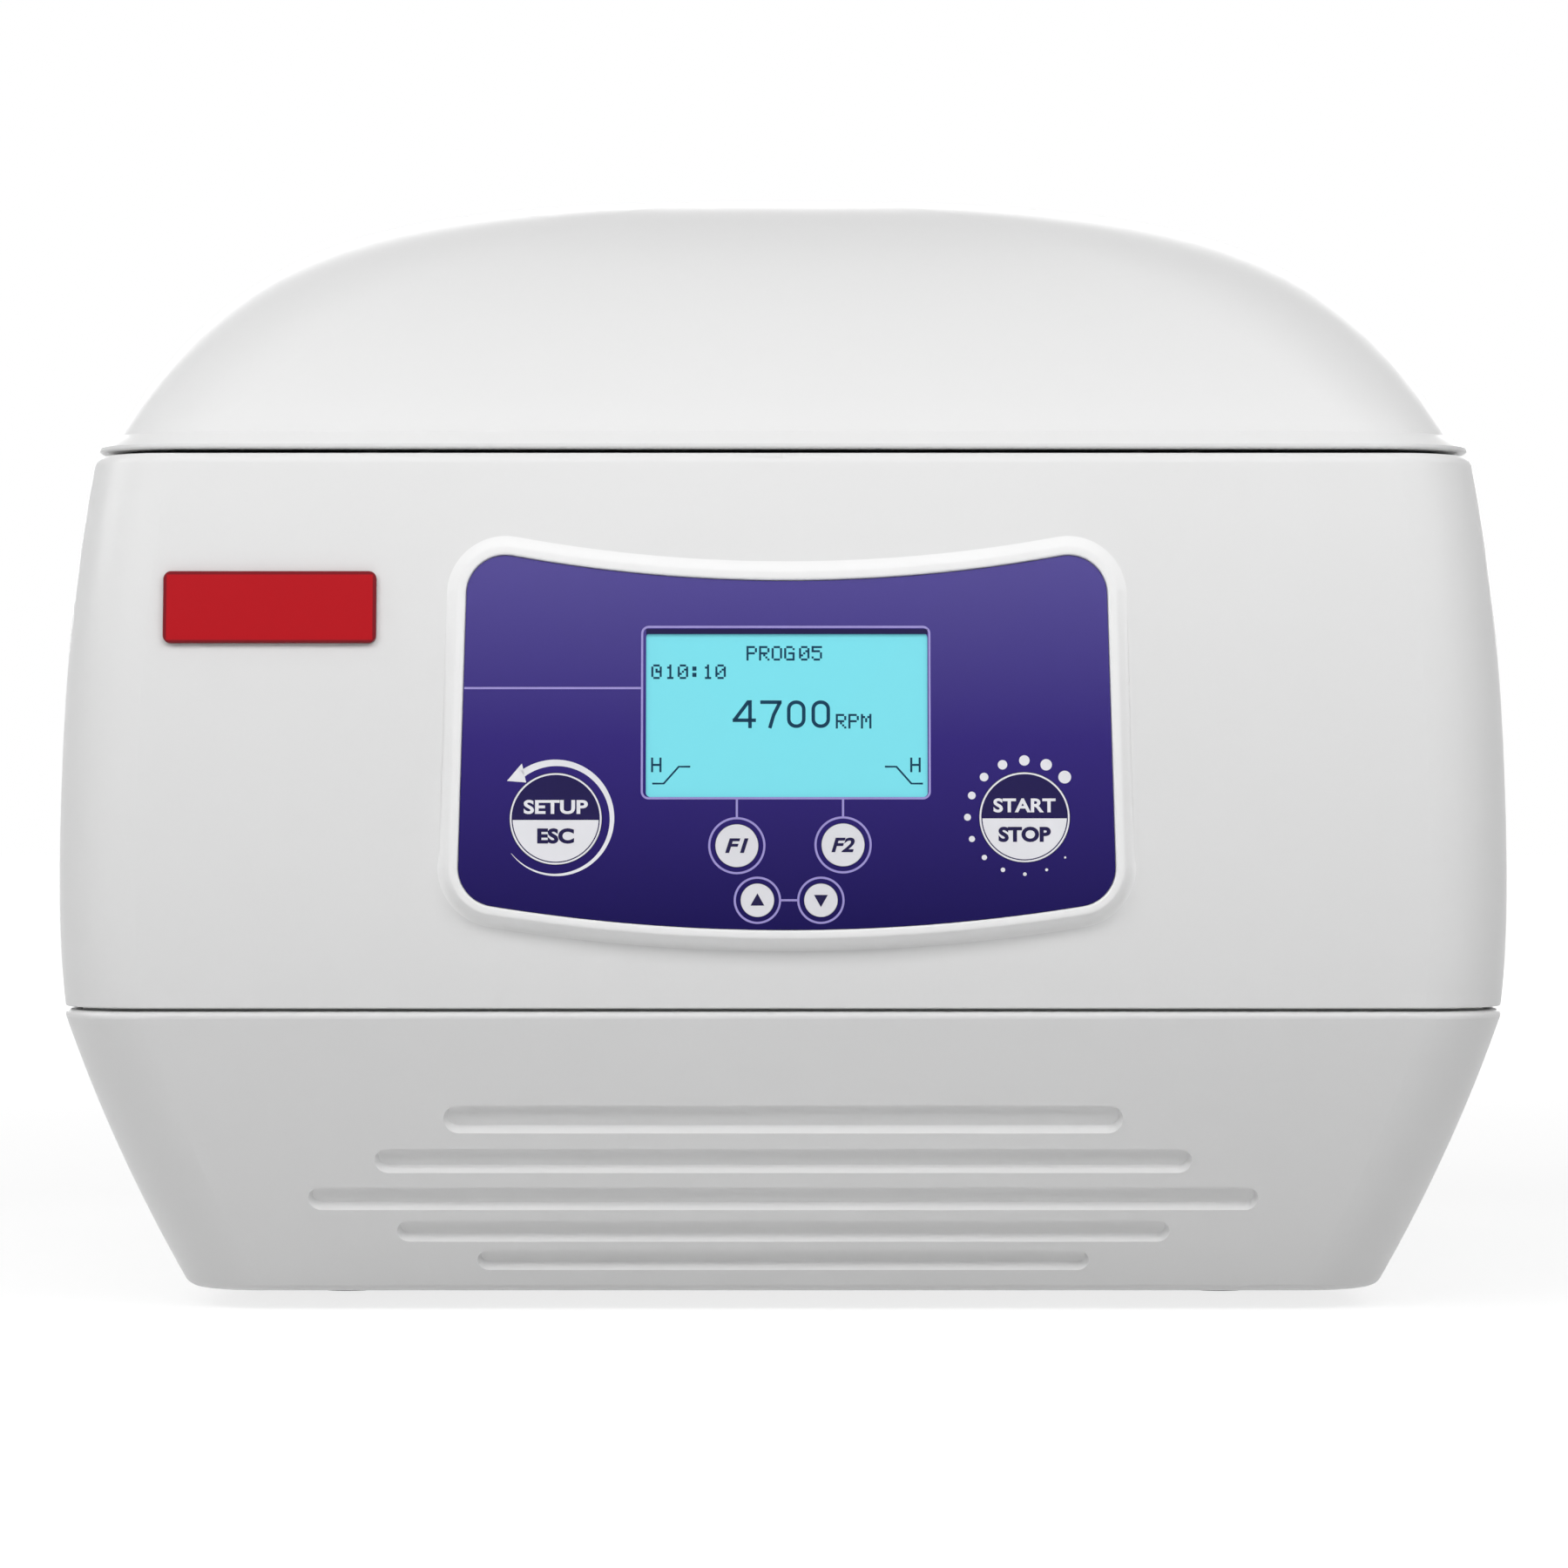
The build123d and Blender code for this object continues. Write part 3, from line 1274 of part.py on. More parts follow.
def make_rocker_frame():
    """The power switch's frame and body, with the pin that the key rocks on."""
    y0, y1 = rear_panel_outer_y, rear_panel_outer_y + rocker_frame_proud
    frame = upright_plate(rocker_x, rocker_z, rocker_frame_width, rocker_frame_height, y0, y1, 1.5)
    frame += upright_plate(
        rocker_x, rocker_z, rocker_inner_width, rocker_inner_height, y0 - rocker_body_depth, y0, 0.6
    )
    hollow_half_height = rocker_inner_height / 2 - rocker_side_wall + rocker_gap
    hollow = rocker_drum(rocker_radius + rocker_gap, rocker_half_width, hollow_half_height)
    frame -= Pos(0, rocker_pivot_y, rocker_z) * hollow
    half = rocker_half_width + rocker_side_wall / 2
    return frame + rod_x(rocker_pin_radius, rocker_x - half, rocker_x + half, rocker_pivot_y, rocker_z)


def make_rocker_key():
    """The rocking key, pressed in at its lower half when the power is off."""
    half = rocker_half_width - rocker_gap
    key = rocker_drum(rocker_radius, half, rocker_half_height)
    above_face = block(rocker_x - 50, rocker_x + 50, rocker_face, rocker_face + 20, -50, 50)
    behind = block(rocker_x - 50, rocker_x + 50, -50, -rocker_pin_radius - 2, -50, 50)
    key -= Pos(rocker_x, 0, 0) * Rot(-rocker_throw / 2, 0, 0) * Pos(-rocker_x, 0, 0) * above_face
    key -= behind
    key -= rod_x(rocker_pin_radius + running_clearance, rocker_x - half - 1, rocker_x + half + 1, 0, 0)
    return Pos(0, rocker_pivot_y, rocker_z) * key


# ------------------------------------------------------------------ fan
def make_fan_frame():
    """The fan's square frame, with its motor disc on three struts."""
    y1 = rear_panel_inner_y
    y0 = y1 - fan_depth
    half = fan_size / 2
    frame = block(fan_x - half, fan_x + half, y0, y1, fan_z - half, fan_z + half)
    frame = fillet(frame.edges().filter_by(Axis.Y), 5.0)
    frame -= rod_y(fan_bore_radius, y0 - 1, y1 + 1, fan_x, fan_z)
    frame += rod_y(fan_hub_radius - 1, y0, y0 + fan_strut_depth, fan_x, fan_z)
    for i in range(3):
        strut = block(
            -fan_strut_width / 2, fan_strut_width / 2, y0, y0 + fan_strut_depth,
            fan_hub_radius - 3, fan_bore_radius + 1,
        )
        frame += Pos(fan_x, 0, fan_z) * Rot(0, 120 * i + 60, 0) * strut
    frame += rod_y(fan_spindle_radius, y0, y0 + fan_strut_depth + fan_spindle_length, fan_x, fan_z)
    return frame


def make_fan_impeller():
    """The fan's hub and blades."""
    y0 = rear_panel_inner_y - fan_depth + fan_strut_depth + fan_axial_gap
    y1 = rear_panel_inner_y - 1.5
    tip = fan_bore_radius - fan_blade_tip_gap
    wheel = rod_y(fan_hub_radius, y0, y1, 0, 0)
    wheel = fillet(wheel.edges().group_by(Axis.Y)[-1], 1.5)
    middle = (y0 + y1) / 2
    chord = (y1 - y0) * 0.8
    root = fan_hub_radius - fan_blade_sink
    for i in range(fan_blades):
        blade = Box(fan_blade_thickness, chord, tip - root)
        blade = Pos(0, middle, 0) * Rot(0, 0, fan_blade_twist) * Pos(0, 0, (tip + root) / 2) * blade
        wheel += Rot(0, 360 * i / fan_blades, 0) * blade
    wheel -= rod_y(fan_spindle_radius + running_clearance, y0 - 1, y0 + fan_spindle_length + 1, 0, 0)
    return Pos(fan_x, 0, fan_z) * wheel


def make_fan_guard():
    """A wire finger guard: rings on crossed bars, with four screw tabs."""
    y0 = rear_panel_outer_y
    wire = fan_guard_wire
    guard = rod_y(fan_guard_rings[0] + wire / 2, y0 + wire, y0 + 2 * wire, 0, 0)
    guard -= rod_y(fan_guard_rings[0] - wire / 2, y0, y0 + 3 * wire, 0, 0)
    for radius in fan_guard_rings[1:]:
        hoop = rod_y(radius + wire / 2, y0 + wire, y0 + 2 * wire, 0, 0)
        hoop -= rod_y(radius - wire / 2, y0, y0 + 3 * wire, 0, 0)
        guard += hoop
    reach = fan_screw_spread * sqrt(2)
    for angle in (45, -45):
        bar = block(-reach, reach, y0, y0 + wire * 1.25, -wire / 2, wire / 2)
        guard += Rot(0, angle, 0) * bar
    for x, z in [(sx * fan_screw_spread, sz * fan_screw_spread) for sx in (-1, 1) for sz in (-1, 1)]:
        guard += rod_y(fan_guard_tab_radius, y0, y0 + wire, x, z)
    return Pos(fan_x, 0, fan_z) * guard


# ------------------------------------------------------------------ feet, chassis and boards
def make_rubber_feet():
    """Four feet with a recess for the screw."""
    feet = []
    for x, y in corners(foot_x, foot_front_y, foot_rear_y):
        foot = rod_z(foot_radius, 0, foot_height, x, y)
        foot = chamfer(foot.edges().group_by(Axis.Z)[0], 1.0)
        recess = foot_screw_recess + foot_screw_head_height
        foot -= rod_z(foot_screw_head_radius + 0.2, -1, recess, x, y)
        foot -= rod_z(foot_screw_radius + 0.1, -1, foot_height + 1, x, y)
        feet.append(foot)
    return group(feet)


def make_foot_screws():
    """The screws that hold the feet on."""
    screws = []
    for x, y in corners(foot_x, foot_front_y, foot_rear_y):
        top = foot_screw_recess + foot_screw_head_height
        head = rod_z(foot_screw_head_radius, foot_screw_recess, top, x, y)
        screws.append(head + rod_z(foot_screw_radius, top, base_bottom_z + foot_screw_grip, x, y))
    return group(screws)


def board_post_places():
    x = drive_board_width / 2 - board_post_inset
    return corners(x, drive_board_front_y + board_post_inset, drive_board_rear_y - board_post_inset)


def make_chassis_plate():
    """The steel floor plate, with the drive board's pressed-in posts."""
    half = chassis_width / 2
    plate = rounded_plate(
        -half, half, chassis_front_y, chassis_rear_y, base_floor_z, chassis_top_z, chassis_corner
    )
    for x, y in corners(foot_x, foot_front_y, foot_rear_y):
        plate -= rod_z(foot_screw_radius + 0.4, base_floor_z - 1, chassis_top_z + 1, x, y)
    for x, y in board_post_places():
        plate += rod_z(board_post_radius, chassis_top_z - 0.5, chassis_top_z + drive_board_rise, x, y)
    return plate


def make_drive_board():
    """The motor drive's circuit board and its larger components."""
    z0 = chassis_top_z + drive_board_rise
    z1 = z0 + drive_board_thickness
    half = drive_board_width / 2
    board = rounded_plate(-half, half, drive_board_front_y, drive_board_rear_y, z0, z1, 2.0)
    middle = (drive_board_front_y + drive_board_rear_y) / 2
    foot = z1 - solder_sink
    for i in range(capacitor_count):
        x = capacitor_first + i * capacitor_pitch - half
        board += rod_z(capacitor_radius, foot, z1 + capacitor_height, x, middle)
    x = choke_first - half
    choke_half = choke_side / 2
    board += block(x, x + choke_side, middle - choke_half, middle + choke_half, foot, z1 + choke_height)
    for place in transistor_places:
        x, y = place - half, middle - transistor_depth / 2
        board += block(x, x + transistor_width, y, y + transistor_depth, foot, z1 + transistor_height)
    return board


def make_drive_heatsink():
    """A finned heat sink on the chassis, behind the chamber."""
    x0, x1 = heatsink_x - heatsink_length / 2, heatsink_x + heatsink_length / 2
    y0, z0 = heatsink_front_y, chassis_top_z
    sink = block(x0, x1, y0, y0 + heatsink_base, z0, z0 + heatsink_height)
    pitch = (heatsink_length - heatsink_fin_thickness) / (heatsink_fins - 1)
    for i in range(heatsink_fins):
        x = x0 + i * pitch
        sink += block(
            x, x + heatsink_fin_thickness, y0 + heatsink_base - 1, y0 + heatsink_depth,
            z0, z0 + heatsink_height,
        )
    return sink


def make_deck_bumpers():
    """Rubber buttons that the lid's front corners come down on."""
    top = liner_bottom_z - bumper_gap
    return group([rod_z(bumper_radius, deck_z, top, side * bumper_x, bumper_y) for side in (-1, 1)])


# ------------------------------------------------------------------ every node
nodes = {
    "base_housing": make_base_housing,
    "upper_housing": make_upper_housing,
    "rubber_feet": make_rubber_feet,
    "foot_screws": make_foot_screws,
    "chassis_plate": make_chassis_plate,
    "guard_ring": make_guard_ring,
    "guard_standoffs": make_guard_standoffs,
    "chamber_bowl": make_chamber_bowl,
    "bowl_rim_seal": make_bowl_rim_seal,
    "shaft_boot": make_shaft_boot,
    "motor_housing": make_motor_housing,
    "motor_stator": make_motor_stator,
    "motor_bearings": make_motor_bearings,
    "damper_mounts": make_damper_mounts,
    "drive_board": make_drive_board,
    "drive_heatsink": make_drive_heatsink,
    "panel_bezel": make_panel_bezel,
    "panel_overlay": make_panel_overlay,
    "lcd_glass": make_lcd_glass,
    "lcd_module": make_lcd_module,
    "keypad_board": make_keypad_board,
    "key_switches": make_key_switches,
    "badge_plate": make_badge_plate,
    "rear_panel": make_rear_panel,
    "rear_panel_screws": make_rear_panel_screws,
    "power_inlet": make_power_inlet,
    "fuse_holders": make_fuse_holders,
    "rocker_frame": make_rocker_frame,
    "fan_frame": make_fan_frame,
    "fan_guard": make_fan_guard,
    "hinge_brackets": make_hinge_brackets,
    "hinge_pins": make_hinge_pins,
    "latch_bracket": make_latch_bracket,
    "latch_motor": make_latch_motor,
    "deck_bumpers": make_deck_bumpers,
    "lid_shell": make_lid_shell,
    "lid_liner": make_lid_liner,
    "view_port_bezel": make_view_port_bezel,
    "view_port_lens": make_view_port_lens,
    "liner_screws": make_liner_screws,
    "lid_strikers": make_lid_strikers,
    "hinge_arms": make_hinge_arms,
    "drive_shaft": make_drive_shaft,
    "motor_rotor": make_motor_rotor,
    "rotor_hub": make_rotor_hub,
    "rotor_arms": make_rotor_arms,
    "trunnion_pins": make_trunnion_pins,
    "rotor_nut": make_rotor_nut,
    "plate_carrier_left": lambda: make_plate_carrier(-1),
    "plate_carrier_right": lambda: make_plate_carrier(1),
    "latch_shaft": make_latch_shaft,
    "latch_hooks": make_latch_hooks,
    "fan_impeller": make_fan_impeller,
    "rocker_key": make_rocker_key,
}
for key_name in keys:
    nodes[key_name] = lambda name=key_name: make_key(name)

os.makedirs("parts", exist_ok=True)
for node_name, make in nodes.items():
    export_step(make(), f"parts/{node_name}.step")
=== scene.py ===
# %% [markdown]
# # A bench centrifuge for microplates
# The machine is a white moulded cabinet in two shells, a domed lid that is hinged at the
# back, and a violet key panel in a white rim. Under the lid hangs a steel bowl with a
# swing-out rotor. The exact solids, which also carry the motion, are loaded first: most
# of them are right as they are and only need a finish. New pieces are added where a real
# machine has print, a lit display or a softly blended edge.
# Everything is in metres, with +Z up and the front facing -Y.

import math

import bpy
import numpy as np
from mathutils.bvhtree import BVHTree
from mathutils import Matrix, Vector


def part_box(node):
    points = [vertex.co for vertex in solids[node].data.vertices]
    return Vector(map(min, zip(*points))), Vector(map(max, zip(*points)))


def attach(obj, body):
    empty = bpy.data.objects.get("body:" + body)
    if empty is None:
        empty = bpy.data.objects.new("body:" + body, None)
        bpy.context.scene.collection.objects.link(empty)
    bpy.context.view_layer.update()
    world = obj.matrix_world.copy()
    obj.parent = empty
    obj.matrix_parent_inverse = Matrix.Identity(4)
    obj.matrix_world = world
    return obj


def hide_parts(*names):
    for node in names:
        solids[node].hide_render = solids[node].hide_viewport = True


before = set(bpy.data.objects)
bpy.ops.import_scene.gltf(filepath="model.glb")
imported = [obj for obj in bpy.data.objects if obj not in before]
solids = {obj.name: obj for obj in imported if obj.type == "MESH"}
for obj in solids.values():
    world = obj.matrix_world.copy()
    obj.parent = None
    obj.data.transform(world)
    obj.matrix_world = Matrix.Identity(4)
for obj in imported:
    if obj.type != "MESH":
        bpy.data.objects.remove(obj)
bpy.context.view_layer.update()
MM = 0.001

# %% [markdown]
# ## A mesh from whole arrays
# A new piece is a grid of points: its surface is a function of two parameters, so numpy
# finds all the corners at once and the faces follow from the grid's order. The same mesh
# could be pushed about by hand, but then nobody could read where a size comes from. The
# helpers work in millimetres, as a drawing does, and let the piece ride on a body of the
# machine, so that it moves when a joint does.

# %% Mesh helpers
CRISP_ANGLE = 35.0


def piece(name, points, faces, material, body, sharp=CRISP_ANGLE):
    """An object at the origin from points in millimetres, riding on a body. It is shaded
    smooth, and an edge stays crisp where its faces turn by more than `sharp` degrees."""
    mesh = bpy.data.meshes.new(name)
    places = (np.asarray(points, float) * MM).tolist()
    mesh.from_pydata(places, [], [list(face) for face in faces])
    mesh.materials.append(material)
    mesh.polygons.foreach_set("use_smooth", np.ones(len(mesh.polygons), bool))
    mesh.set_sharp_from_angle(angle=math.radians(sharp))
    mesh.update()
    made = bpy.data.objects.new(name, mesh)
    bpy.context.scene.collection.objects.link(made)
    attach(made, body)
    return made


def grid_faces(rows, columns, wrap=False):
    """Quads over a grid that is stored row after row, so corner (r, c) has the number
    r * columns + c. With wrap, the last column joins the first."""
    r = np.arange(rows - 1)[:, None]
    c = np.arange(columns if wrap else columns - 1)[None, :]
    n = (c + 1) % columns
    quads = [r * columns + c, r * columns + n, (r + 1) * columns + n, (r + 1) * columns + c]
    return np.stack(quads, axis=-1).reshape(-1, 4)


print("mesh helpers ready")

# %% [markdown]
# ## Effects that several finishes share
# A finish is a shader with detail in it. Effects that come back in many finishes are
# node groups: the faint orange peel of a moulded skin, the fine lines of turned or
# brushed metal, and the slight unevenness that handling leaves. A group gives out only
# masks and heights, and each finish feeds them to its own shader. Built once, an effect
# stays the same everywhere and can be corrected in one place.

# %% Shader helpers
def node(tree, kind, inputs=None, **settings):
    """Adds a shader node, with values or links for its inputs."""
    made = tree.nodes.new("ShaderNode" + kind)
    for key, value in settings.items():
        setattr(made, key, value)
    for key, value in (inputs or {}).items():
        if isinstance(value, bpy.types.NodeSocket):
            tree.links.new(value, made.inputs[key])
        else:
            made.inputs[key].default_value = value
    return made


def effect(name, inputs, outputs):
    """An empty group: a Vector and named numbers come in, and named numbers go out."""
    group = bpy.data.node_groups.new(name, "ShaderNodeTree")
    sockets = group.interface
    sockets.new_socket("Vector", in_out="INPUT", socket_type="NodeSocketVector")
    for key, value in inputs.items():
        socket = sockets.new_socket(key, in_out="INPUT", socket_type="NodeSocketFloat")
        socket.default_value = value
    for key in outputs:
        sockets.new_socket(key, in_out="OUTPUT", socket_type="NodeSocketFloat")
    given = group.nodes.new("NodeGroupInput").outputs
    out = group.nodes.new("NodeGroupOutput").inputs
    return group, given, out


print("shader helpers ready")

# %% [markdown]
# ### Moulded skin
# A moulding copies its polished or eroded mould. Two noises give that: a fine one for the
# grain and a broad one for the slow waves that make a reflection wander. Their sum is the
# height, and the broad one alone tells where the surface is uneven.

# %% Moulded skin
moulded_skin, given, out = effect(
    "moulded_skin", {"Grain": 900.0, "Waves": 24.0}, ["Height", "Unevenness"])
fine = node(moulded_skin, "TexNoise",
            {"Vector": given["Vector"], "Scale": given["Grain"], "Detail": 2.0})
broad = node(moulded_skin, "TexNoise",
             {"Vector": given["Vector"], "Scale": given["Waves"], "Detail": 1.0})
both = node(moulded_skin, "Math", {0: fine.outputs["Fac"], 1: broad.outputs["Fac"]},
            operation="ADD")
moulded_skin.links.new(both.outputs[0], out["Height"])
moulded_skin.links.new(broad.outputs["Fac"], out["Unevenness"])
print("group", moulded_skin.name)

# %% [markdown]
# ### Lines of a tool
# Brushing leaves straight hairlines and a lathe leaves rings. Both are a noise that is
# squeezed in one direction. For the brushed lines the place is multiplied by one number
# per axis. For the turned lines the noise reads only the distance from the Z axis and
# the height, so it is the same all the way round.

# %% Brushed lines
brushed_lines, given, out = effect(
    "brushed_lines", {"Along X": 4.0, "Along Y": 900.0, "Along Z": 900.0},
    ["Height", "Unevenness"])
stretch = node(brushed_lines, "CombineXYZ",
               {"X": given["Along X"], "Y": given["Along Y"], "Z": given["Along Z"]})
placed = node(brushed_lines, "VectorMath", {0: given["Vector"], 1: stretch.outputs[0]},
              operation="MULTIPLY")
hairs = node(brushed_lines, "TexNoise",
             {"Vector": placed.outputs[0], "Scale": 1.0, "Detail": 3.0})
for name in ("Height", "Unevenness"):
    brushed_lines.links.new(hairs.outputs["Fac"], out[name])
print("group", brushed_lines.name)

# %% Turned lines
turned_lines, given, out = effect("turned_lines", {"Pitch": 1400.0}, ["Height", "Unevenness"])
parts = node(turned_lines, "SeparateXYZ", {"Vector": given["Vector"]})
flat = node(turned_lines, "CombineXYZ", {"X": parts.outputs["X"], "Y": parts.outputs["Y"]})
reach = node(turned_lines, "VectorMath", {0: flat.outputs[0]}, operation="LENGTH")
rings = node(turned_lines, "CombineXYZ",
             {"X": reach.outputs["Value"], "Y": parts.outputs["Z"]})
hairs = node(turned_lines, "TexNoise",
             {"Vector": rings.outputs[0], "Scale": given["Pitch"], "Detail": 2.0})
for name in ("Height", "Unevenness"):
    turned_lines.links.new(hairs.outputs["Fac"], out[name])
print("group", turned_lines.name)

# %% [markdown]
# ### Handling marks
# Hands and cloths leave soft smears that are a little rougher than the clean surface. A
# noise with much detail is cut off below, so most of the surface stays clean.

# %% Handling marks
SMEAR_START, SMEAR_FULL = 0.40, 0.72
handling, given, out = effect("handling", {"Size": 14.0}, ["Smears"])
soft = node(handling, "TexNoise", {"Vector": given["Vector"], "Scale": given["Size"],
                                   "Detail": 5.0, "Roughness": 0.6})
band = node(handling, "MapRange", {"Value": soft.outputs["Fac"], "From Min": SMEAR_START,
                                   "From Max": SMEAR_FULL})
handling.links.new(band.outputs["Result"], out["Smears"])
print("group", handling.name)

# %% [markdown]
# ## A finish
# Every finish starts the same way: a shader with its plain values, the place on the
# object as a Vector, a group that gives height and unevenness, and two ranges that turn
# the unevenness and the handling marks into a slightly varied colour and roughness. The
# bump's distance is the real depth of the grain in metres, a few hundredths of a
# millimetre. A pattern that turns about an axis is first moved there by its `centre`.

# %% Start of a finish
def start_finish(name, **plain):
    """A new material with its shader's plain values set, and the place on the piece."""
    material = bpy.data.materials.new(name)
    material.use_nodes = True
    tree = material.node_tree
    shader = tree.nodes["Principled BSDF"]
    for key, value in plain.items():
        shader.inputs[key.replace("_", " ")].default_value = value
    return material, tree, shader, node(tree, "TexCoord").outputs["Object"]


print("a finish starts from the Principled shader")

# %% Grain and roughness of a finish
UNEVEN_LOW, TOUCHED_HIGH = 0.1, 1.9
ROUGH_REACH = 1.3


def add_surface(tree, shader, place, roughness, spread, marks, group, values, depth):
    """Links the group's height as a bump, and varies the roughness: it rises from
    `roughness` by 1.3 times `spread` as unevenness plus handling marks goes up."""
    grain = node(tree, "Group", node_tree=group)
    tree.links.new(place, grain.inputs["Vector"])
    for key, value in values.items():
        grain.inputs[key].default_value = value
    touched = node(tree, "Group", {"Vector": place}, node_tree=handling)
    share = node(tree, "MapRange",
                 {"Value": touched.outputs["Smears"], "To Min": 0.0, "To Max": marks})
    mixed = node(tree, "Math", {0: grain.outputs["Unevenness"], 1: share.outputs["Result"]},
                 operation="ADD")
    rough = node(tree, "MapRange", {
        "Value": mixed.outputs[0], "From Min": UNEVEN_LOW, "From Max": TOUCHED_HIGH,
        "To Min": roughness, "To Max": roughness + ROUGH_REACH * spread})
    bump = node(tree, "Bump",
                {"Height": grain.outputs["Height"], "Distance": depth, "Strength": 1.0})
    tree.links.new(rough.outputs["Result"], shader.inputs["Roughness"])
    tree.links.new(bump.outputs[0], shader.inputs["Normal"])
    return grain.outputs["Unevenness"]


print("roughness reaches", ROUGH_REACH, "spreads up")

# %% A whole finish
UNEVEN_HIGH, SHADE_REACH = 0.9, 1.6


def finish(name, colour, roughness, group, values, depth, spread=0.03, shade=0.03,
           marks=1.0, centre=None, **plain):
    """A finish of one colour, which is multiplied by 1 - 1.6 * shade where the group says
    that the surface is lowest, and by 1 where it is highest."""
    material, tree, shader, place = start_finish(name, **plain)
    if centre is not None:
        back = [-value for value in centre]
        place = node(tree, "Mapping", {"Vector": place, "Location": back}).outputs[0]
    uneven = add_surface(tree, shader, place, roughness, spread, marks, group, values, depth)
    tone = node(tree, "MapRange", {
        "Value": uneven, "From Min": UNEVEN_LOW, "From Max": UNEVEN_HIGH,
        "To Min": 1.0 - SHADE_REACH * shade, "To Max": 1.0})
    tint = node(tree, "VectorMath", {0: colour, "Scale": tone.outputs["Result"]},
                operation="SCALE")
    tree.links.new(tint.outputs[0], shader.inputs["Base Color"])
    return material


print("finish builder ready")

# %% [markdown]
# ## White plastic and paint
# The housings are gloss white plastic. Its grain is so shallow that it only breaks up
# reflections a little. The liner and the rear panel are powder coated, which is rougher
# and has a deeper grain. Grain and waves are counted per metre, so a larger number is a
# finer pattern.

# %% White plastics and powder coats
SKIN = {"Grain": 700.0, "Waves": 18.0}
POWDER = {"Grain": 1600.0, "Waves": 30.0}
white_plastic = finish("white_plastic", (0.80, 0.80, 0.80), 0.29, moulded_skin, SKIN,
                       0.000010, spread=0.04, shade=0.006, marks=0.3)
# The rim and the view port's bezel are the same moulded white plastic as the housings. Their
# colour is painted lighter, 0.90 against 0.80: painted light for the light their rounded lips
# catch.
white_rim_painted_light = finish("white_rim_painted_light", (0.90, 0.90, 0.90), 0.285, moulded_skin, SKIN,
                   0.000008, spread=0.04, shade=0.005, marks=0.3)
white_powder = finish("white_powder", (0.70, 0.71, 0.72), 0.42, moulded_skin, POWDER,
                      0.00004, spread=0.08, shade=0.02)
grey_powder = finish("grey_powder", (0.52, 0.53, 0.54), 0.45, moulded_skin, POWDER,
                     0.00004, spread=0.1)
print("white and grey finishes:", len(bpy.data.materials))

# %% [markdown]
# ## Dark plastic, rubber and paint
# Black parts are never quite black, and what one sees of them is mostly their gloss. So
# their roughness varies more than that of the white ones. Rubber is the roughest, and the
# guard and the motor are painted steel. The circuit boards have a green lacquer.

# %% Dark plastics, rubber and paint
black_plastic = finish("black_plastic", (0.018, 0.018, 0.02), 0.42, moulded_skin,
                       {"Grain": 2200.0, "Waves": 60.0}, 0.00003, spread=0.14, shade=0.2)
black_rubber = finish("black_rubber", (0.022, 0.022, 0.023), 0.7, moulded_skin,
                      {"Grain": 1500.0, "Waves": 90.0}, 0.00006, spread=0.15, shade=0.25)
grey_rubber = finish("grey_rubber", (0.10, 0.10, 0.105), 0.66, moulded_skin,
                     {"Grain": 1300.0, "Waves": 90.0}, 0.00005, spread=0.15, shade=0.2)
dark_paint = finish("dark_paint", (0.045, 0.047, 0.05), 0.4, moulded_skin,
                    {"Grain": 1400.0, "Waves": 60.0}, 0.00004, spread=0.12, shade=0.15)
guard_paint = finish("guard_paint", (0.12, 0.125, 0.13), 0.5, moulded_skin,
                     {"Grain": 900.0, "Waves": 40.0}, 0.00006, spread=0.1, shade=0.12)
green_board = finish("green_board", (0.012, 0.11, 0.04), 0.38, moulded_skin,
                     {"Grain": 600.0, "Waves": 300.0}, 0.00003, spread=0.15, shade=0.3)
print("with the dark ones:", len(bpy.data.materials))

# %% [markdown]
# ## Metals
# The bowl and the shaft are turned, so their hairlines run in circles round the rotor's
# axis: the pattern reads the distance from that axis. Pins are ground round, brackets
# are zinc plated with a mottled bloom, and the plate carriers are cast and bead blasted.

# %% Metal finishes
ROTOR_AXIS = (0.0, -0.008, 0.0)
bowl_steel = finish("bowl_steel", (0.60, 0.60, 0.61), 0.285, turned_lines,
                    {"Pitch": 1500.0}, 0.00001, spread=0.08, shade=0.12,
                    centre=ROTOR_AXIS, Metallic=1.0)
turned_steel = finish("turned_steel", (0.55, 0.55, 0.56), 0.285, turned_lines,
                      {"Pitch": 2600.0}, 0.000008, spread=0.08, shade=0.15,
                      centre=ROTOR_AXIS, Metallic=1.0)
cross_steel = finish("cross_steel", (0.55, 0.55, 0.56), 0.285, brushed_lines,
                     {"Along X": 2500.0, "Along Y": 30.0, "Along Z": 30.0}, 0.000008,
                     spread=0.1, shade=0.15, Metallic=1.0)
zinc_plate = finish("zinc_plate", (0.50, 0.51, 0.50), 0.34, brushed_lines,
                    {"Along X": 60.0, "Along Y": 60.0, "Along Z": 60.0}, 0.00001,
                    spread=0.2, shade=0.25, Metallic=1.0)
anodised = finish("anodised", (0.56, 0.57, 0.59), 0.36, moulded_skin,
                  {"Grain": 3000.0, "Waves": 50.0}, 0.00001, spread=0.1, shade=0.08,
                  Metallic=1.0)
cast_alloy = finish("cast_alloy", (0.46, 0.47, 0.48), 0.42, moulded_skin,
                    {"Grain": 1600.0, "Waves": 120.0}, 0.00005, spread=0.16, shade=0.18,
                    Metallic=1.0)
copper_winding = finish("copper_winding", (0.50, 0.21, 0.07), 0.35, brushed_lines,
                        {"Along X": 1200.0, "Along Y": 1200.0, "Along Z": 60.0}, 0.0001,
                        spread=0.15, shade=0.4, Metallic=0.9)
print("with metals:", len(bpy.data.materials))

# %% [markdown]
# ## The film on the panel
# The film is printed in violet that deepens to indigo at its foot. A painted texture would
# do, but a colour ramp over the height is smoother and is changed by three numbers.
# The ramp reads the height on the object, from the foot of the film to its top, so the
# colour stays on the film when the machine is turned.

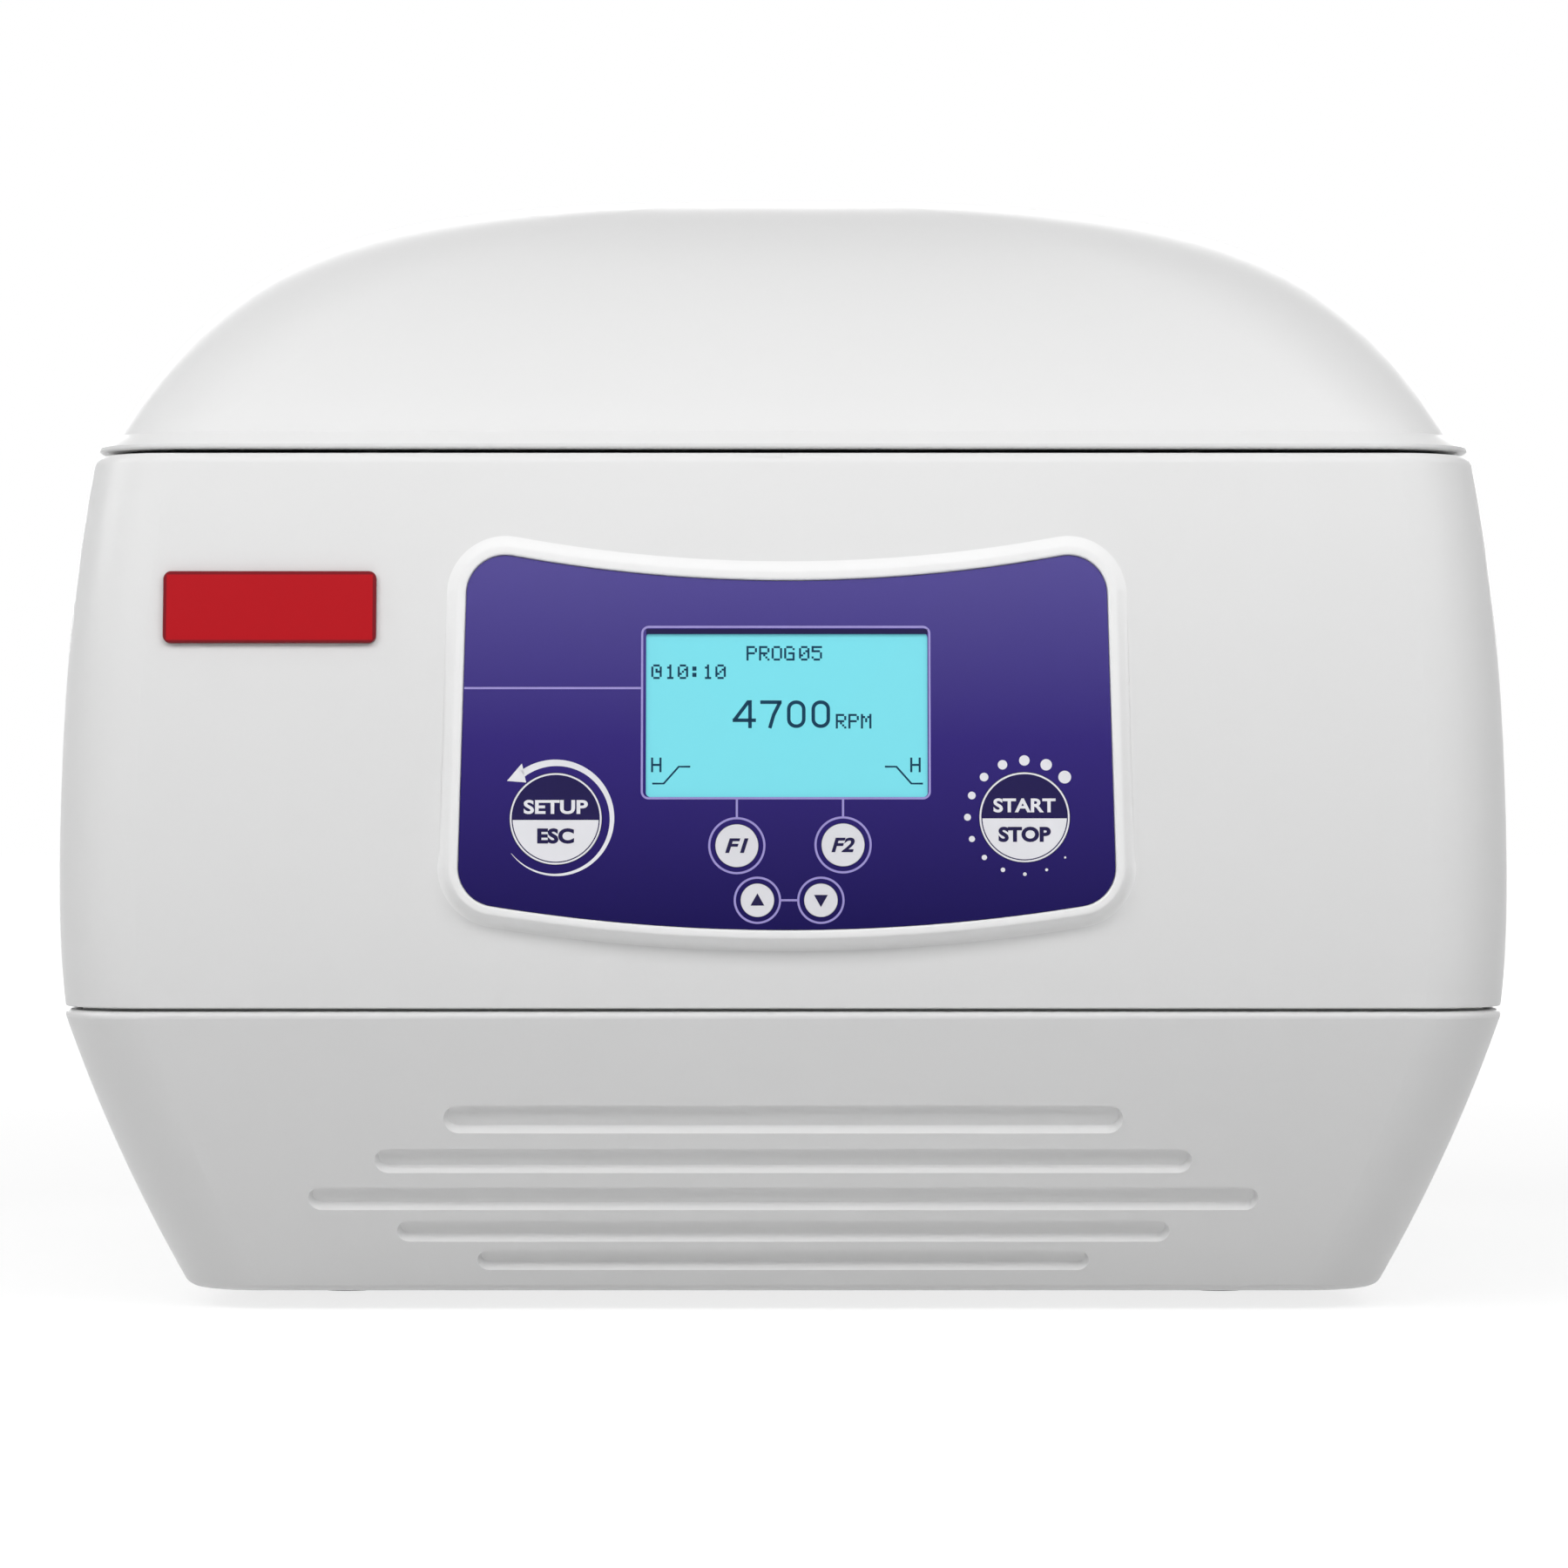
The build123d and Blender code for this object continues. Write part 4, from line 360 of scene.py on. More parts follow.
# %% Film finish
FILM_FOOT, FILM_TOP = (0.006, 0.002, 0.078, 1.0), (0.096, 0.077, 0.305, 1.0)
FILM_MIDDLE = (0.034, 0.020, 0.185, 1.0)
film_low, film_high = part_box("panel_overlay")
film_violet, tree, shader, place = start_finish("film_violet", Specular_IOR_Level=0.15)
add_surface(tree, shader, place, 0.30, 0.08, 0.6, moulded_skin,
            {"Grain": 2600.0, "Waves": 40.0}, 0.000012)
height = node(tree, "SeparateXYZ", {"Vector": place}).outputs["Z"]
share = node(tree, "MapRange",
             {"Value": height, "From Min": film_low[2], "From Max": film_high[2]})
ramp = node(tree, "ValToRGB", {"Fac": share.outputs["Result"]})
ramp.color_ramp.elements[0].color = FILM_FOOT
ramp.color_ramp.elements[1].color = FILM_TOP
ramp.color_ramp.elements.new(0.5).color = FILM_MIDDLE
tree.links.new(ramp.outputs["Color"], shader.inputs["Base Color"])
print("film from z", film_low[2], "to", film_high[2])

# %% [markdown]
# ## The display's glow
# A lit display sends out its own light, so much of its colour is emission. Its top edge
# carries painted shade for the shadow of the film's thickness: within one millimetre of
# height the colour and the glow fall to a half. The glassy coat is what mirrors the room.

# %% Display finish
SHADOW_START, SHADOW_FULL, SHADOW = 0.1745, 0.1755, 0.5
CYAN_LIGHT, CYAN_BODY = (0.175, 0.70, 0.80), (0.10, 0.40, 0.45)
display_glow, tree, shader, place = start_finish(
    "display_glow", Emission_Strength=0.50, Coat_Weight=0.3, Coat_Roughness=0.08)
add_surface(tree, shader, place, 0.35, 0.05, 0.3, moulded_skin,
            {"Grain": 1800.0, "Waves": 30.0}, 0.000002)
height = node(tree, "SeparateXYZ", {"Vector": place}).outputs["Z"]
# painted shade: colour and glow fall to a half along the display's top edge
edge = node(tree, "MapRange", {"Value": height, "From Min": SHADOW_START,
                               "From Max": SHADOW_FULL, "To Min": 1.0, "To Max": SHADOW})
for colour, socket in ((CYAN_LIGHT, "Emission Color"), (CYAN_BODY, "Base Color")):
    shaded = node(tree, "VectorMath", {0: colour, "Scale": edge.outputs["Result"]},
                  operation="SCALE")
    tree.links.new(shaded.outputs[0], shader.inputs[socket])
print("finish", display_glow.name)

# %% [markdown]
# ## Inks and key caps
# Screen ink dries nearly matt, with a grain a few thousandths of a millimetre deep. The
# dark inks reflect little, because a bright reflection would turn indigo into grey. The
# caps are moulded in nearly the same two colours and are a little glossier.

# %% Inks and caps
INK = {"Grain": 3000.0, "Waves": 80.0}
ink_white = finish("ink_white", (0.86, 0.86, 0.90), 0.42, moulded_skin, INK, 0.000006,
                   shade=0.05)
ink_lilac = finish("ink_lilac", (0.36, 0.31, 0.68), 0.42, moulded_skin, INK, 0.000006,
                   shade=0.05)
# The indigo is ink for the legends, and it also paints the shadow strip at the top of the display.
indigo_ink_and_painted_shadow = finish("indigo_ink_and_painted_shadow", (0.012, 0.008, 0.060), 0.42, moulded_skin, INK, 0.000006,
                    shade=0.1, Specular_IOR_Level=0.2)
display_ink = finish("display_ink", (0.008, 0.050, 0.100), 0.4, moulded_skin, INK, 0.000004,
                     shade=0.1, Specular_IOR_Level=0.15)
cap_indigo = finish("cap_indigo", (0.012, 0.007, 0.075), 0.3, moulded_skin, INK, 0.00001,
                    shade=0.1, Specular_IOR_Level=0.2)
cap_white = finish("cap_white", (0.80, 0.80, 0.84), 0.3, moulded_skin, INK, 0.00001,
                   shade=0.03)
print("with the panel:", len(bpy.data.materials))

# %% [markdown]
# ## The badge plate
# The plate left of the panel is glossy red with a darker border, and carries no words.
# The border could be a second mesh, but it is flat print, so it is a mask: a point is
# inside when its distance from the plate's middle, in X and in Z, is more than a
# millimetre short of half the plate's size.

# %% Badge finish
BADGE_BORDER = 0.0010
BORDER_BLEND = 0.8
BORDER_RED, PLATE_RED = (0.20, 0.006, 0.012, 1.0), (0.47, 0.004, 0.010, 1.0)
badge_low, badge_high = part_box("badge_plate")
badge_red, tree, shader, place = start_finish("badge_red", Specular_IOR_Level=0.2)
add_surface(tree, shader, place, 0.3, 0.06, 0.4, moulded_skin,
            {"Grain": 1500.0, "Waves": 60.0}, 0.000008)
spot = node(tree, "SeparateXYZ", {"Vector": place})
inside = []
for axis, number in (("X", 0), ("Z", 2)):
    middle = (badge_low[number] + badge_high[number]) / 2
    half = (badge_high[number] - badge_low[number]) / 2
    offset = node(tree, "Math", {0: spot.outputs[axis], 1: middle}, operation="SUBTRACT")
    away = node(tree, "Math", {0: offset.outputs[0]}, operation="ABSOLUTE")
    near = node(tree, "MapRange", {
        "Value": away.outputs[0], "From Min": half - BADGE_BORDER,
        "From Max": half - BORDER_BLEND * BADGE_BORDER, "To Min": 1.0, "To Max": 0.0})
    inside.append(near.outputs[0])
plate = node(tree, "Math", {0: inside[0], 1: inside[1]}, operation="MINIMUM")
red = node(tree, "Mix", {"Factor": plate.outputs[0], "A": BORDER_RED, "B": PLATE_RED},
           data_type="RGBA")
tree.links.new(red.outputs["Result"], shader.inputs["Base Color"])
print("finish", badge_red.name)

# %% [markdown]
# ## Clear parts
# The view port in the crown is a thick clear pane, so its finish is real glass: full
# transmission, a plain index of refraction and a faintly smeared surface.

# %% Clear pane
port_pane, tree, shader, place = start_finish(
    "port_pane", Transmission_Weight=1.0, IOR=1.49, Base_Color=(0.9, 0.93, 0.94, 1.0))
marks = node(tree, "Group", {"Vector": place, "Size": 60.0}, node_tree=handling)
rough = node(tree, "MapRange",
             {"Value": marks.outputs["Smears"], "To Min": 0.03, "To Max": 0.12})
tree.links.new(rough.outputs["Result"], shader.inputs["Roughness"])
print("finish", port_pane.name)

# %% [markdown]
# ## Finishes on the exact solids
# Each solid came with its own plain material. It is swapped for a finish by name, and its
# mesh is left alone. One table shows at a glance which pieces are made of what.

# %% Hand out the finishes
NODE_FINISH = {
    white_plastic: ["base_housing", "upper_housing", "lid_shell"],
    # the two bezels get the white that is painted lighter, as painted light
    white_rim_painted_light: ["panel_bezel", "view_port_bezel"],
    white_powder: ["lid_liner"],
    grey_powder: ["rear_panel"],
    black_plastic: ["lcd_module", "key_switches", "power_inlet", "fuse_holders",
                    "rocker_frame", "rocker_key", "fan_frame", "fan_impeller"],
    black_rubber: ["rubber_feet", "shaft_boot", "damper_mounts"],
    grey_rubber: ["deck_bumpers", "bowl_rim_seal"],
    dark_paint: ["motor_housing", "motor_rotor", "latch_motor"],
    guard_paint: ["guard_ring"],
    green_board: ["drive_board", "keypad_board"],
    bowl_steel: ["chamber_bowl"],
    turned_steel: ["motor_bearings", "drive_shaft", "rotor_nut"],
    cross_steel: ["trunnion_pins", "fan_guard", "hinge_pins", "latch_shaft", "lid_strikers"],
    zinc_plate: ["chassis_plate", "guard_standoffs", "foot_screws", "rear_panel_screws",
                 "liner_screws", "hinge_brackets", "hinge_arms", "latch_bracket",
                 "latch_hooks"],
    anodised: ["rotor_hub", "rotor_arms"],
    cast_alloy: ["plate_carrier_left", "plate_carrier_right", "drive_heatsink"],
    copper_winding: ["motor_stator"],
    film_violet: ["panel_overlay"],
    badge_red: ["badge_plate"],
    port_pane: ["view_port_lens", "lcd_glass"],
    cap_indigo: ["key_setup", "key_start"],
    cap_white: ["key_f1", "key_f2", "key_up", "key_down"],
}
for material, names in NODE_FINISH.items():
    for name in names:
        solids[name].data.materials.clear()
        solids[name].data.materials.append(material)
print("finished solids:", sum(len(names) for names in NODE_FINISH.values()), "of", len(solids))

# %% [markdown]
# ## The panel's own coordinates
# The key panel leans back 5.5 degrees. Everything printed on it is drawn flat, with u to
# the right, v up along the panel and w out of it, and then stood up in one step. The
# panel's origin is in the middle of the film, and the film's face is 0.8 mm behind the
# crest of the white rim. The film's own box gives its middle in X.

# %% Panel coordinates
PANEL_LEAN = math.radians(5.5)
PANEL_FRONT, PANEL_HEIGHT = -204.55, 148.0
PANEL_ORIGIN = np.array([(film_low[0] + film_high[0]) / 2 / MM, PANEL_FRONT, PANEL_HEIGHT])
PANEL_RIGHT = (1.0, 0.0, 0.0)
PANEL_UP = np.array([0.0, math.sin(PANEL_LEAN), math.cos(PANEL_LEAN)])
PANEL_OUT = np.array([0.0, -math.cos(PANEL_LEAN), math.sin(PANEL_LEAN)])
FILM_FACE = -0.8


def on_panel(flat):
    """Stands (u, v, w) up on the leaning panel: the origin plus u to the right, v up the
    panel and w along its normal."""
    flat = np.asarray(flat, float)
    across, up, out = flat[:, :1], flat[:, 1:2], flat[:, 2:3]
    return PANEL_ORIGIN + across * PANEL_RIGHT + up * PANEL_UP + out * PANEL_OUT


print("middle of the film at", on_panel([[0, 0, FILM_FACE]]))

# %% [markdown]
# ## Shapes for printing
# Print is a very thin layer of ink. Each mark is a flat mesh that lies a few hundredths
# of a millimetre over the film, because ink has a crisp edge at any size and a pattern
# in a material would blur. A line is a ribbon: its path, moved to both sides by half the
# line's width. Marks that share an ink are collected in one mesh.

# %% Ink and lines
INK_LIFT = 0.03


class Ink:
    """Collects flat marks, so that one ink on one body becomes one piece."""

    def __init__(self, lift=INK_LIFT, face=FILM_FACE):
        self.points, self.faces, self.count, self.level = [], [], 0, face + lift

    def add(self, uv, faces):
        """Adds a mark at the ink's own level. Its faces count from its first point."""
        uv = np.asarray(uv, float)
        self.points.append(np.column_stack([uv, np.full(len(uv), self.level)]))
        self.faces.extend((np.asarray(face) + self.count).tolist() for face in faces)
        self.count += len(uv)

    def make(self, name, material, body):
        """Stands all marks up on the panel as one piece."""
        return piece(name, on_panel(np.concatenate(self.points)), self.faces, material, body)


def ribbon(ink, path, half_width, closed=False):
    """Both edges of a path: each point moves along the path's normal by plus and minus
    the half-width there. The normal is the path's direction turned by a right angle."""
    path = np.asarray(path, float)
    if closed:
        along = np.roll(path, -1, axis=0) - np.roll(path, 1, axis=0)
    else:
        along = np.gradient(path, axis=0)
    along /= np.linalg.norm(along, axis=1)[:, None]
    normal = np.column_stack([-along[:, 1], along[:, 0]])
    normal = normal * np.broadcast_to(half_width, len(path))[:, None]
    edges = np.concatenate([path - normal, path + normal])
    ink.add(edges, grid_faces(2, len(path), wrap=closed))


print("ink lies", INK_LIFT, "mm over the film")

# %% Round shapes
def arc(u, v, radius, start, end, count=64):
    """Points on a circle between two angles in degrees, counter-clockwise from +u."""
    turn = np.radians(np.linspace(start, end, count))
    return np.column_stack([u + radius * np.cos(turn), v + radius * np.sin(turn)])


def disc(ink, u, v, radius, start=0.0, end=360.0, count=48):
    """One flat face inside an arc, which is a whole disc or a part cut off by its chord."""
    rim = arc(u, v, radius, start, end, count + 1)
    rim = rim[:-1] if end - start >= 360.0 else rim
    ink.add(rim, [range(len(rim))])


def ring(ink, u, v, radius, half_width, count):
    """A closed line along a whole circle of that many points."""
    ribbon(ink, arc(u, v, radius, 0, 360, count + 1)[:-1], half_width, closed=True)


def rounded_rectangle(u, v, width, height, radius, count=9):
    """The outline of a rectangle with round corners: four quarter arcs, joined by the
    straight sides."""
    half_u, half_v = width / 2 - radius, height / 2 - radius
    middles = [(half_u, half_v, 0), (-half_u, half_v, 90),
               (-half_u, -half_v, 180), (half_u, -half_v, 270)]
    corners = [arc(u + x, v + y, radius, a, a + 90, count) for x, y, a in middles]
    return np.concatenate(corners)


print("round shapes ready")

# %% [markdown]
# ## Words
# The only words on the machine are the legends of its keys. Blender's own text object
# draws them: it is made a mesh, its points are taken and scaled to the size that the
# legend has, and they join the rest of the ink.

# %% Words
def words(ink, text, u, v, height, width, bold=0.0, slant=0.0):
    """Text from the built-in face as flat faces, stretched to a height and a width, with
    its middle at (u, v)."""
    curve = bpy.data.curves.new("words", "FONT")
    curve.body, curve.offset, curve.shear, curve.resolution_u = text, bold, slant, 5
    sample = bpy.data.objects.new("words", curve)
    letters = bpy.data.meshes.new_from_object(sample)
    spots = np.zeros(len(letters.vertices) * 3)
    letters.vertices.foreach_get("co", spots)
    spots = spots.reshape(-1, 3)[:, :2]
    low, high = spots.min(0), spots.max(0)
    spots = (spots - (low + high) / 2) / (high - low) * (width, height) + (u, v)
    ink.add(spots, [list(face.vertices) for face in letters.polygons])
    bpy.data.objects.remove(sample)
    bpy.data.meshes.remove(letters)


print("words ready")

# %% [markdown]
# ## Print on the film
# A fine lilac line frames the display. Between the line and the top of the display lies a
# dark strip of indigo: painted shadow, where the film's edge shades the display. A line runs
# in from the left, lines lead on to the two function keys, and rings go round the small keys.
# All sizes are in millimetres from the panel's origin, so a mark can be moved by changing one
# number.

# %% Places on the panel
KEYS = {"setup": (-58.3, -19.8), "start": (60.0, -19.4), "f1": (-12.6, -26.6),
        "f2": (14.2, -26.4), "up": (-7.4, -40.4), "down": (8.6, -40.4)}
CAP_RADIUS = {"setup": 11.6, "start": 11.4}
RING_RADIUS = {"f1": 6.95, "f2": 6.95, "up": 5.7, "down": 5.7}
WINDOW_U, WINDOW_V, WINDOW_WIDTH, WINDOW_HEIGHT = 0.0, 6.6, 71.2, 41.8
LINE_U, LINE_V, LINE_WIDTH, LINE_HEIGHT, LINE_CORNER = -0.25, 7.2, 72.7, 43.6, 1.7
FINE_LINE = 0.27
print("keys:", len(KEYS), "window", WINDOW_WIDTH, "by", WINDOW_HEIGHT)

# %% Lines
SIDE_LINE = [(-81.6, 13.4), (-60.0, 13.4), (-36.8, 13.4)]
LEAD_START, LEAD_MIDDLE, LEAD_GAP = 7.0, 8.3, 0.1
LINK_START, LINK_MIDDLE = 5.8, (0.6, -40.4)

lines = Ink()
display_line = rounded_rectangle(LINE_U, LINE_V, LINE_WIDTH, LINE_HEIGHT, LINE_CORNER)
ribbon(lines, display_line, FINE_LINE, closed=True)
ribbon(lines, SIDE_LINE, FINE_LINE)
for name, radius in RING_RADIUS.items():
    ring(lines, *KEYS[name], radius, FINE_LINE, 72)
line_foot = LINE_V - LINE_HEIGHT / 2
for name in ("f1", "f2"):
    u, v = KEYS[name]
    lead = [(u, v + LEAD_START), (u, (v - LEAD_MIDDLE) / 2), (u, line_foot - LEAD_GAP)]
    ribbon(lines, lead, FINE_LINE)
(up_u, up_v), (down_u, down_v) = KEYS["up"], KEYS["down"]
link = [(up_u + LINK_START, up_v), LINK_MIDDLE, (down_u - LINK_START, down_v)]
ribbon(lines, link, FINE_LINE)
lines.make("print_lines", ink_lilac, "cabinet")
print("points in lilac:", lines.count)

# %% Painted shadow strip
# A dark strip along the top of the display: painted shadow of the film's edge, not print.
STRIP_V, STRIP_HALF_HEIGHT, STRIP_HALF_WIDTH = 27.80, 0.66, 35.6
strip = Ink()
strip_path = [(u, STRIP_V) for u in (-STRIP_HALF_WIDTH, 0.0, STRIP_HALF_WIDTH)]
ribbon(strip, strip_path, STRIP_HALF_HEIGHT)
strip.make("painted_shadow_strip", indigo_ink_and_painted_shadow, "cabinet")
print("points in the strip:", strip.count)

# %% [markdown]
# ## Arrow and speed scale
# Round the setup key goes an arrow whose shaft thins out to nothing. It is one ribbon,
# with a half-width that falls along the path. Round the start key goes a ring of thirteen
# dots that grow like a speed scale: the first is the largest, and the others shrink by a
# power of their share of the way round.

# %% Arrow and dots
ARROW_RADIUS, ARROW_START, ARROW_END, ARROW_POINTS = 14.2, 126, -142, 96
ARROW_THICK, ARROW_THIN, ARROW_TAPER = 0.86, 0.04, 0.75
ARROW_HEAD = np.array([(-12.35, 9.6), (-8.6, 14.05), (-7.5, 9.2)])
DOT_COUNT, DOT_RING, DOT_START, DOT_STEP = 13, 14.4, 45.0, 22.5
DOT_LARGEST, DOT_FALL, DOT_POWER = 1.62, 1.34, 0.85

white = Ink()
u, v = KEYS["setup"]
shaft = arc(u, v, ARROW_RADIUS, ARROW_START, ARROW_END, ARROW_POINTS)
left_to_go = 1 - np.linspace(0.0, 1.0, ARROW_POINTS)
ribbon(white, shaft, ARROW_THICK * left_to_go ** ARROW_TAPER + ARROW_THIN)
white.add(ARROW_HEAD + (u, v), [(2, 1, 0)])
u, v = KEYS["start"]
for step in range(DOT_COUNT):
    turn = math.radians(DOT_START + DOT_STEP * step)
    size = DOT_LARGEST - DOT_FALL * (step / (DOT_COUNT - 1)) ** DOT_POWER
    disc(white, u + DOT_RING * math.cos(turn), v + DOT_RING * math.sin(turn), size, count=24)
white.make("print_marks", ink_white, "cabinet")
print("points in white:", white.count)

# %% [markdown]
# ## Key caps
# A large cap is dark above and white below, with a thin white ring at its edge. The dark
# half is the cap itself, so only the white half, the ring and the legends are ink. A
# small cap is all white. Each print rides on its own cap, so it goes in with the key.

# %% Large caps
EDGE_INSET, EDGE_HALF_LINE = 0.24, 0.22
HALF_INSET, HALF_START, HALF_END = 0.75, 181.6, 358.4
UPPER_RISE, UPPER_HEIGHT, UPPER_BOLD = 3.0, 3.6, 0.03
LOWER_DROP, LOWER_HEIGHT, LOWER_BOLD = 4.35, 3.9, 0.045


def large_cap(name, upper, lower, upper_width, lower_width):
    """A ring just inside the cap's edge, a disc cut off by its chord below the middle, a
    white legend above it and a dark one on it, one layer of ink higher."""
    (u, v), radius = KEYS[name], CAP_RADIUS[name]
    pale, dark = Ink(), Ink(lift=2 * INK_LIFT)
    ring(pale, u, v, radius - EDGE_INSET, EDGE_HALF_LINE, 96)
    disc(pale, u, v, radius - HALF_INSET, HALF_START, HALF_END, 64)
    words(pale, upper, u, v + UPPER_RISE, UPPER_HEIGHT, upper_width, bold=UPPER_BOLD)
    words(dark, lower, u, v - LOWER_DROP, LOWER_HEIGHT, lower_width, bold=LOWER_BOLD)
    pale.make("print_" + name + "_white", ink_white, "cap_" + name)
    dark.make("print_" + name + "_dark", indigo_ink_and_painted_shadow, "cap_" + name)


large_cap("setup", "SETUP", "ESC", 16.2, 9.3)
large_cap("start", "START", "STOP", 15.7, 13.2)
print("large caps printed")

# %% Small caps
F_HEIGHT, F_WIDTH, F_BOLD, F_SLANT = 3.7, 5.9, 0.03, 0.25
POINTER_HALF, POINTER_FOOT, POINTER_TIP = 1.75, 1.35, 1.75

for name in ("f1", "f2"):
    legend = Ink()
    words(legend, name.upper(), *KEYS[name], F_HEIGHT, F_WIDTH, bold=F_BOLD, slant=F_SLANT)
    legend.make("print_" + name, indigo_ink_and_painted_shadow, "cap_" + name)
for name, way in (("up", 1), ("down", -1)):
    u, v = KEYS[name]
    foot, tip = v - POINTER_FOOT * way, v + POINTER_TIP * way
    pointer = Ink()
    corners = [(u - POINTER_HALF, foot), (u + POINTER_HALF, foot), (u, tip)]
    pointer.add(corners, [(0, 1, 2) if way > 0 else (2, 1, 0)])
    pointer.make("print_" + name, indigo_ink_and_painted_shadow, "cap_" + name)
print("small caps printed")

# %% [markdown]
# ## The lit display
# The display is one flat pane that glows a little and has a glassy coat. It lies just
# behind the film and stands for the clear pane there. The exact pane could have kept its
# glass, but light that has to pass through glass makes a lit display grainy and dull.

# %% Display pane
PANE_FACE, PANE_THICKNESS, PANE_MARGIN = -1.6, 0.75, 0.9
half_u, half_v = WINDOW_WIDTH / 2 + PANE_MARGIN, WINDOW_HEIGHT / 2 + PANE_MARGIN
corners = [(WINDOW_U + x * half_u, WINDOW_V + y * half_v, w)
           for w in (PANE_FACE - PANE_THICKNESS, PANE_FACE) for y in (-1, 1) for x in (-1, 1)]
sides = [(0, 2, 3, 1), (4, 5, 7, 6), (0, 1, 5, 4), (1, 3, 7, 5), (3, 2, 6, 7), (2, 0, 4, 6)]
pane = piece("display_pane", on_panel(corners), sides, display_glow, "cabinet", sharp=20.0)
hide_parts("lcd_glass")
print("display pane", 2 * half_u, "by", 2 * half_v)

# %% [markdown]
# ## What the display shows
# A matrix display draws its small characters as a grid of squares, so each character is a
# table of noughts and ones, five across and seven down. The large figures and the two
# speed ramps are ribbons: at their size a ribbon looks the same and has far fewer faces.

# %% Matrix characters
CELL = 0.53
CELLS_ACROSS, CELLS_UP, ADVANCE = 5, 7, 6
MATRIX = {
    "P": "11110 10001 10001 11110 10000 10000 10000",
    "R": "11110 10001 10001 11110 10100 10010 10001",
    "O": "01110 10001 10001 10001 10001 10001 01110",
    "G": "01110 10001 10000 10111 10001 10001 01111",
    "M": "10001 11011 10101 10101 10001 10001 10001",
    "H": "10001 10001 10001 11111 10001 10001 10001",
    "0": "01110 10001 10011 10101 11001 10001 01110",
    "1": "00100 01100 00100 00100 00100 00100 01110",
    "5": "11111 10000 11110 00001 00001 10001 01110",
    ":": "00000 01100 01100 00000 01100 01100 00000",
    "o": "01110 10001 10101 10111 10001 10001 01110",
}


def matrix_text(ink, text, u, v):
    """Every set cell of a character becomes a square, and the next character starts six
    cells on. (u, v) is the lower left corner of the first one."""
    square = np.array([(0.0, 0.0), (1.0, 0.0), (1.0, 1.0), (0.0, 1.0)]) * CELL
    for index, letter in enumerate(text):
        rows = MATRIX[letter].split()
        cells = np.array([(column, CELLS_UP - 1 - row) for row in range(CELLS_UP)
                          for column in range(CELLS_ACROSS) if rows[row][column] == "1"])
        low = np.array([u + index * ADVANCE * CELL, v]) + cells * CELL
        spots = (low[:, None, :] + square[None]).reshape(-1, 2)
        ink.add(spots, np.arange(len(spots)).reshape(-1, 4))


print("matrix characters:", len(MATRIX))

# %% Display contents
READINGS = [("PROG", -10.2, 20.5), ("05", 3.1, 20.5), ("o", -34.3, 15.8),
            ("10:10", -30.8, 15.8), ("RPM", 12.4, 3.2), ("H", -34.3, -7.9), ("H", 31.2, -7.9)]
RAMP = [(34.2, -10.8), (31.3, -10.8), (27.5, -6.5), (24.6, -6.5)]
RAMP_SHIFT, RAMP_HALF_LINE, FIGURE_HALF_LINE = 0.2, 0.24, 0.45
FOUR = [[(-9.3, 3.3), (-9.3, 10.4)], [(-9.6, 10.2), (-13.2, 5.4)], [(-13.7, 5.3), (-7.8, 5.3)]]
SEVEN = [[(-6.7, 9.9), (-1.3, 9.9)], [(-1.7, 9.9), (-3.3, 6.7), (-4.3, 3.3)]]
NOUGHTS_U, NOUGHT_V = (2.4, 8.6), 6.85
NOUGHT_WIDTH, NOUGHT_HEIGHT, NOUGHT_CORNER = 3.8, 6.1, 1.8

segments = Ink(face=PANE_FACE)
for text, u, v in READINGS:
    matrix_text(segments, text, u, v)
for side in (-1, 1):
    path = [(side * u + RAMP_SHIFT, v) for u, v in RAMP][::-side]
    ribbon(segments, path, RAMP_HALF_LINE)
for stroke in FOUR + SEVEN:
    ribbon(segments, stroke, FIGURE_HALF_LINE)
for u in NOUGHTS_U:
    nought = rounded_rectangle(u, NOUGHT_V, NOUGHT_WIDTH, NOUGHT_HEIGHT, NOUGHT_CORNER)
    ribbon(segments, nought, FIGURE_HALF_LINE, closed=True)
segments.make("display_segments", display_ink, "cabinet")
print("points on the display:", segments.count)

# %% [markdown]
# ## The white rim
# On a real machine the rim round the film is moulded so that it runs softly into the
# face of the cabinet. Its outline is two straight sides, an arc that dips along the top,
# an arc that sags along the bottom, and four round corners. The outline is worked out
# once with its outward normals. Then a cross-section is carried round it: a narrow lip
# beside the film, and a skirt that runs from the panel's plane down to the cabinet's
# face. A bevel on the plain rim would be quicker, but it can't fade into a curved face.

# %% Arcs and corners
TOP_END, TOP_CREST = (81.0, 49.5), 40.9
LOW_END, LOW_CREST = (83.2, -40.5), -48.0
CORNER = 10.0
HALVINGS = 60


def circle_through(end, crest):
    """Centre height and radius of the circle through (-end.u, end.v), (0, crest) and
    (end.u, end.v): the radius is (u^2 + rise^2) / (2 rise)."""
    rise = end[1] - crest
    radius = (end[0] ** 2 + rise ** 2) / (2 * abs(rise))
    return crest + math.copysign(radius, rise), radius


def corner_centre(foot, side, arc_v, distance, low, high):
    """The point on the line from `foot` along `side` that is `distance` away from
    (0, arc_v). The stretch from low to high is halved until it is as good as a point."""
    for _ in range(HALVINGS):
        middle = (low + high) / 2
        spot = foot + side * middle
        gap = math.hypot(spot[0], spot[1] - arc_v) - distance
        low, high = (middle, high) if gap < 0 else (low, middle)
    return foot + side * (low + high) / 2


def turn_about(centre, radius, start, stop, count, facing=1.0):
    """Points on a circle from one angle to another, in radians. Their normals point out
    of the circle, or into it where facing is -1."""
    turn = np.linspace(start, stop, count)
    way = np.column_stack([np.cos(turn), np.sin(turn)])
    return np.asarray(centre) + radius * way, facing * way


print("top arc", circle_through(TOP_END, TOP_CREST), "low arc", circle_through(LOW_END, LOW_CREST))

# %% Rim outline
CORNER_POINTS, ARC_POINTS = 22, 34


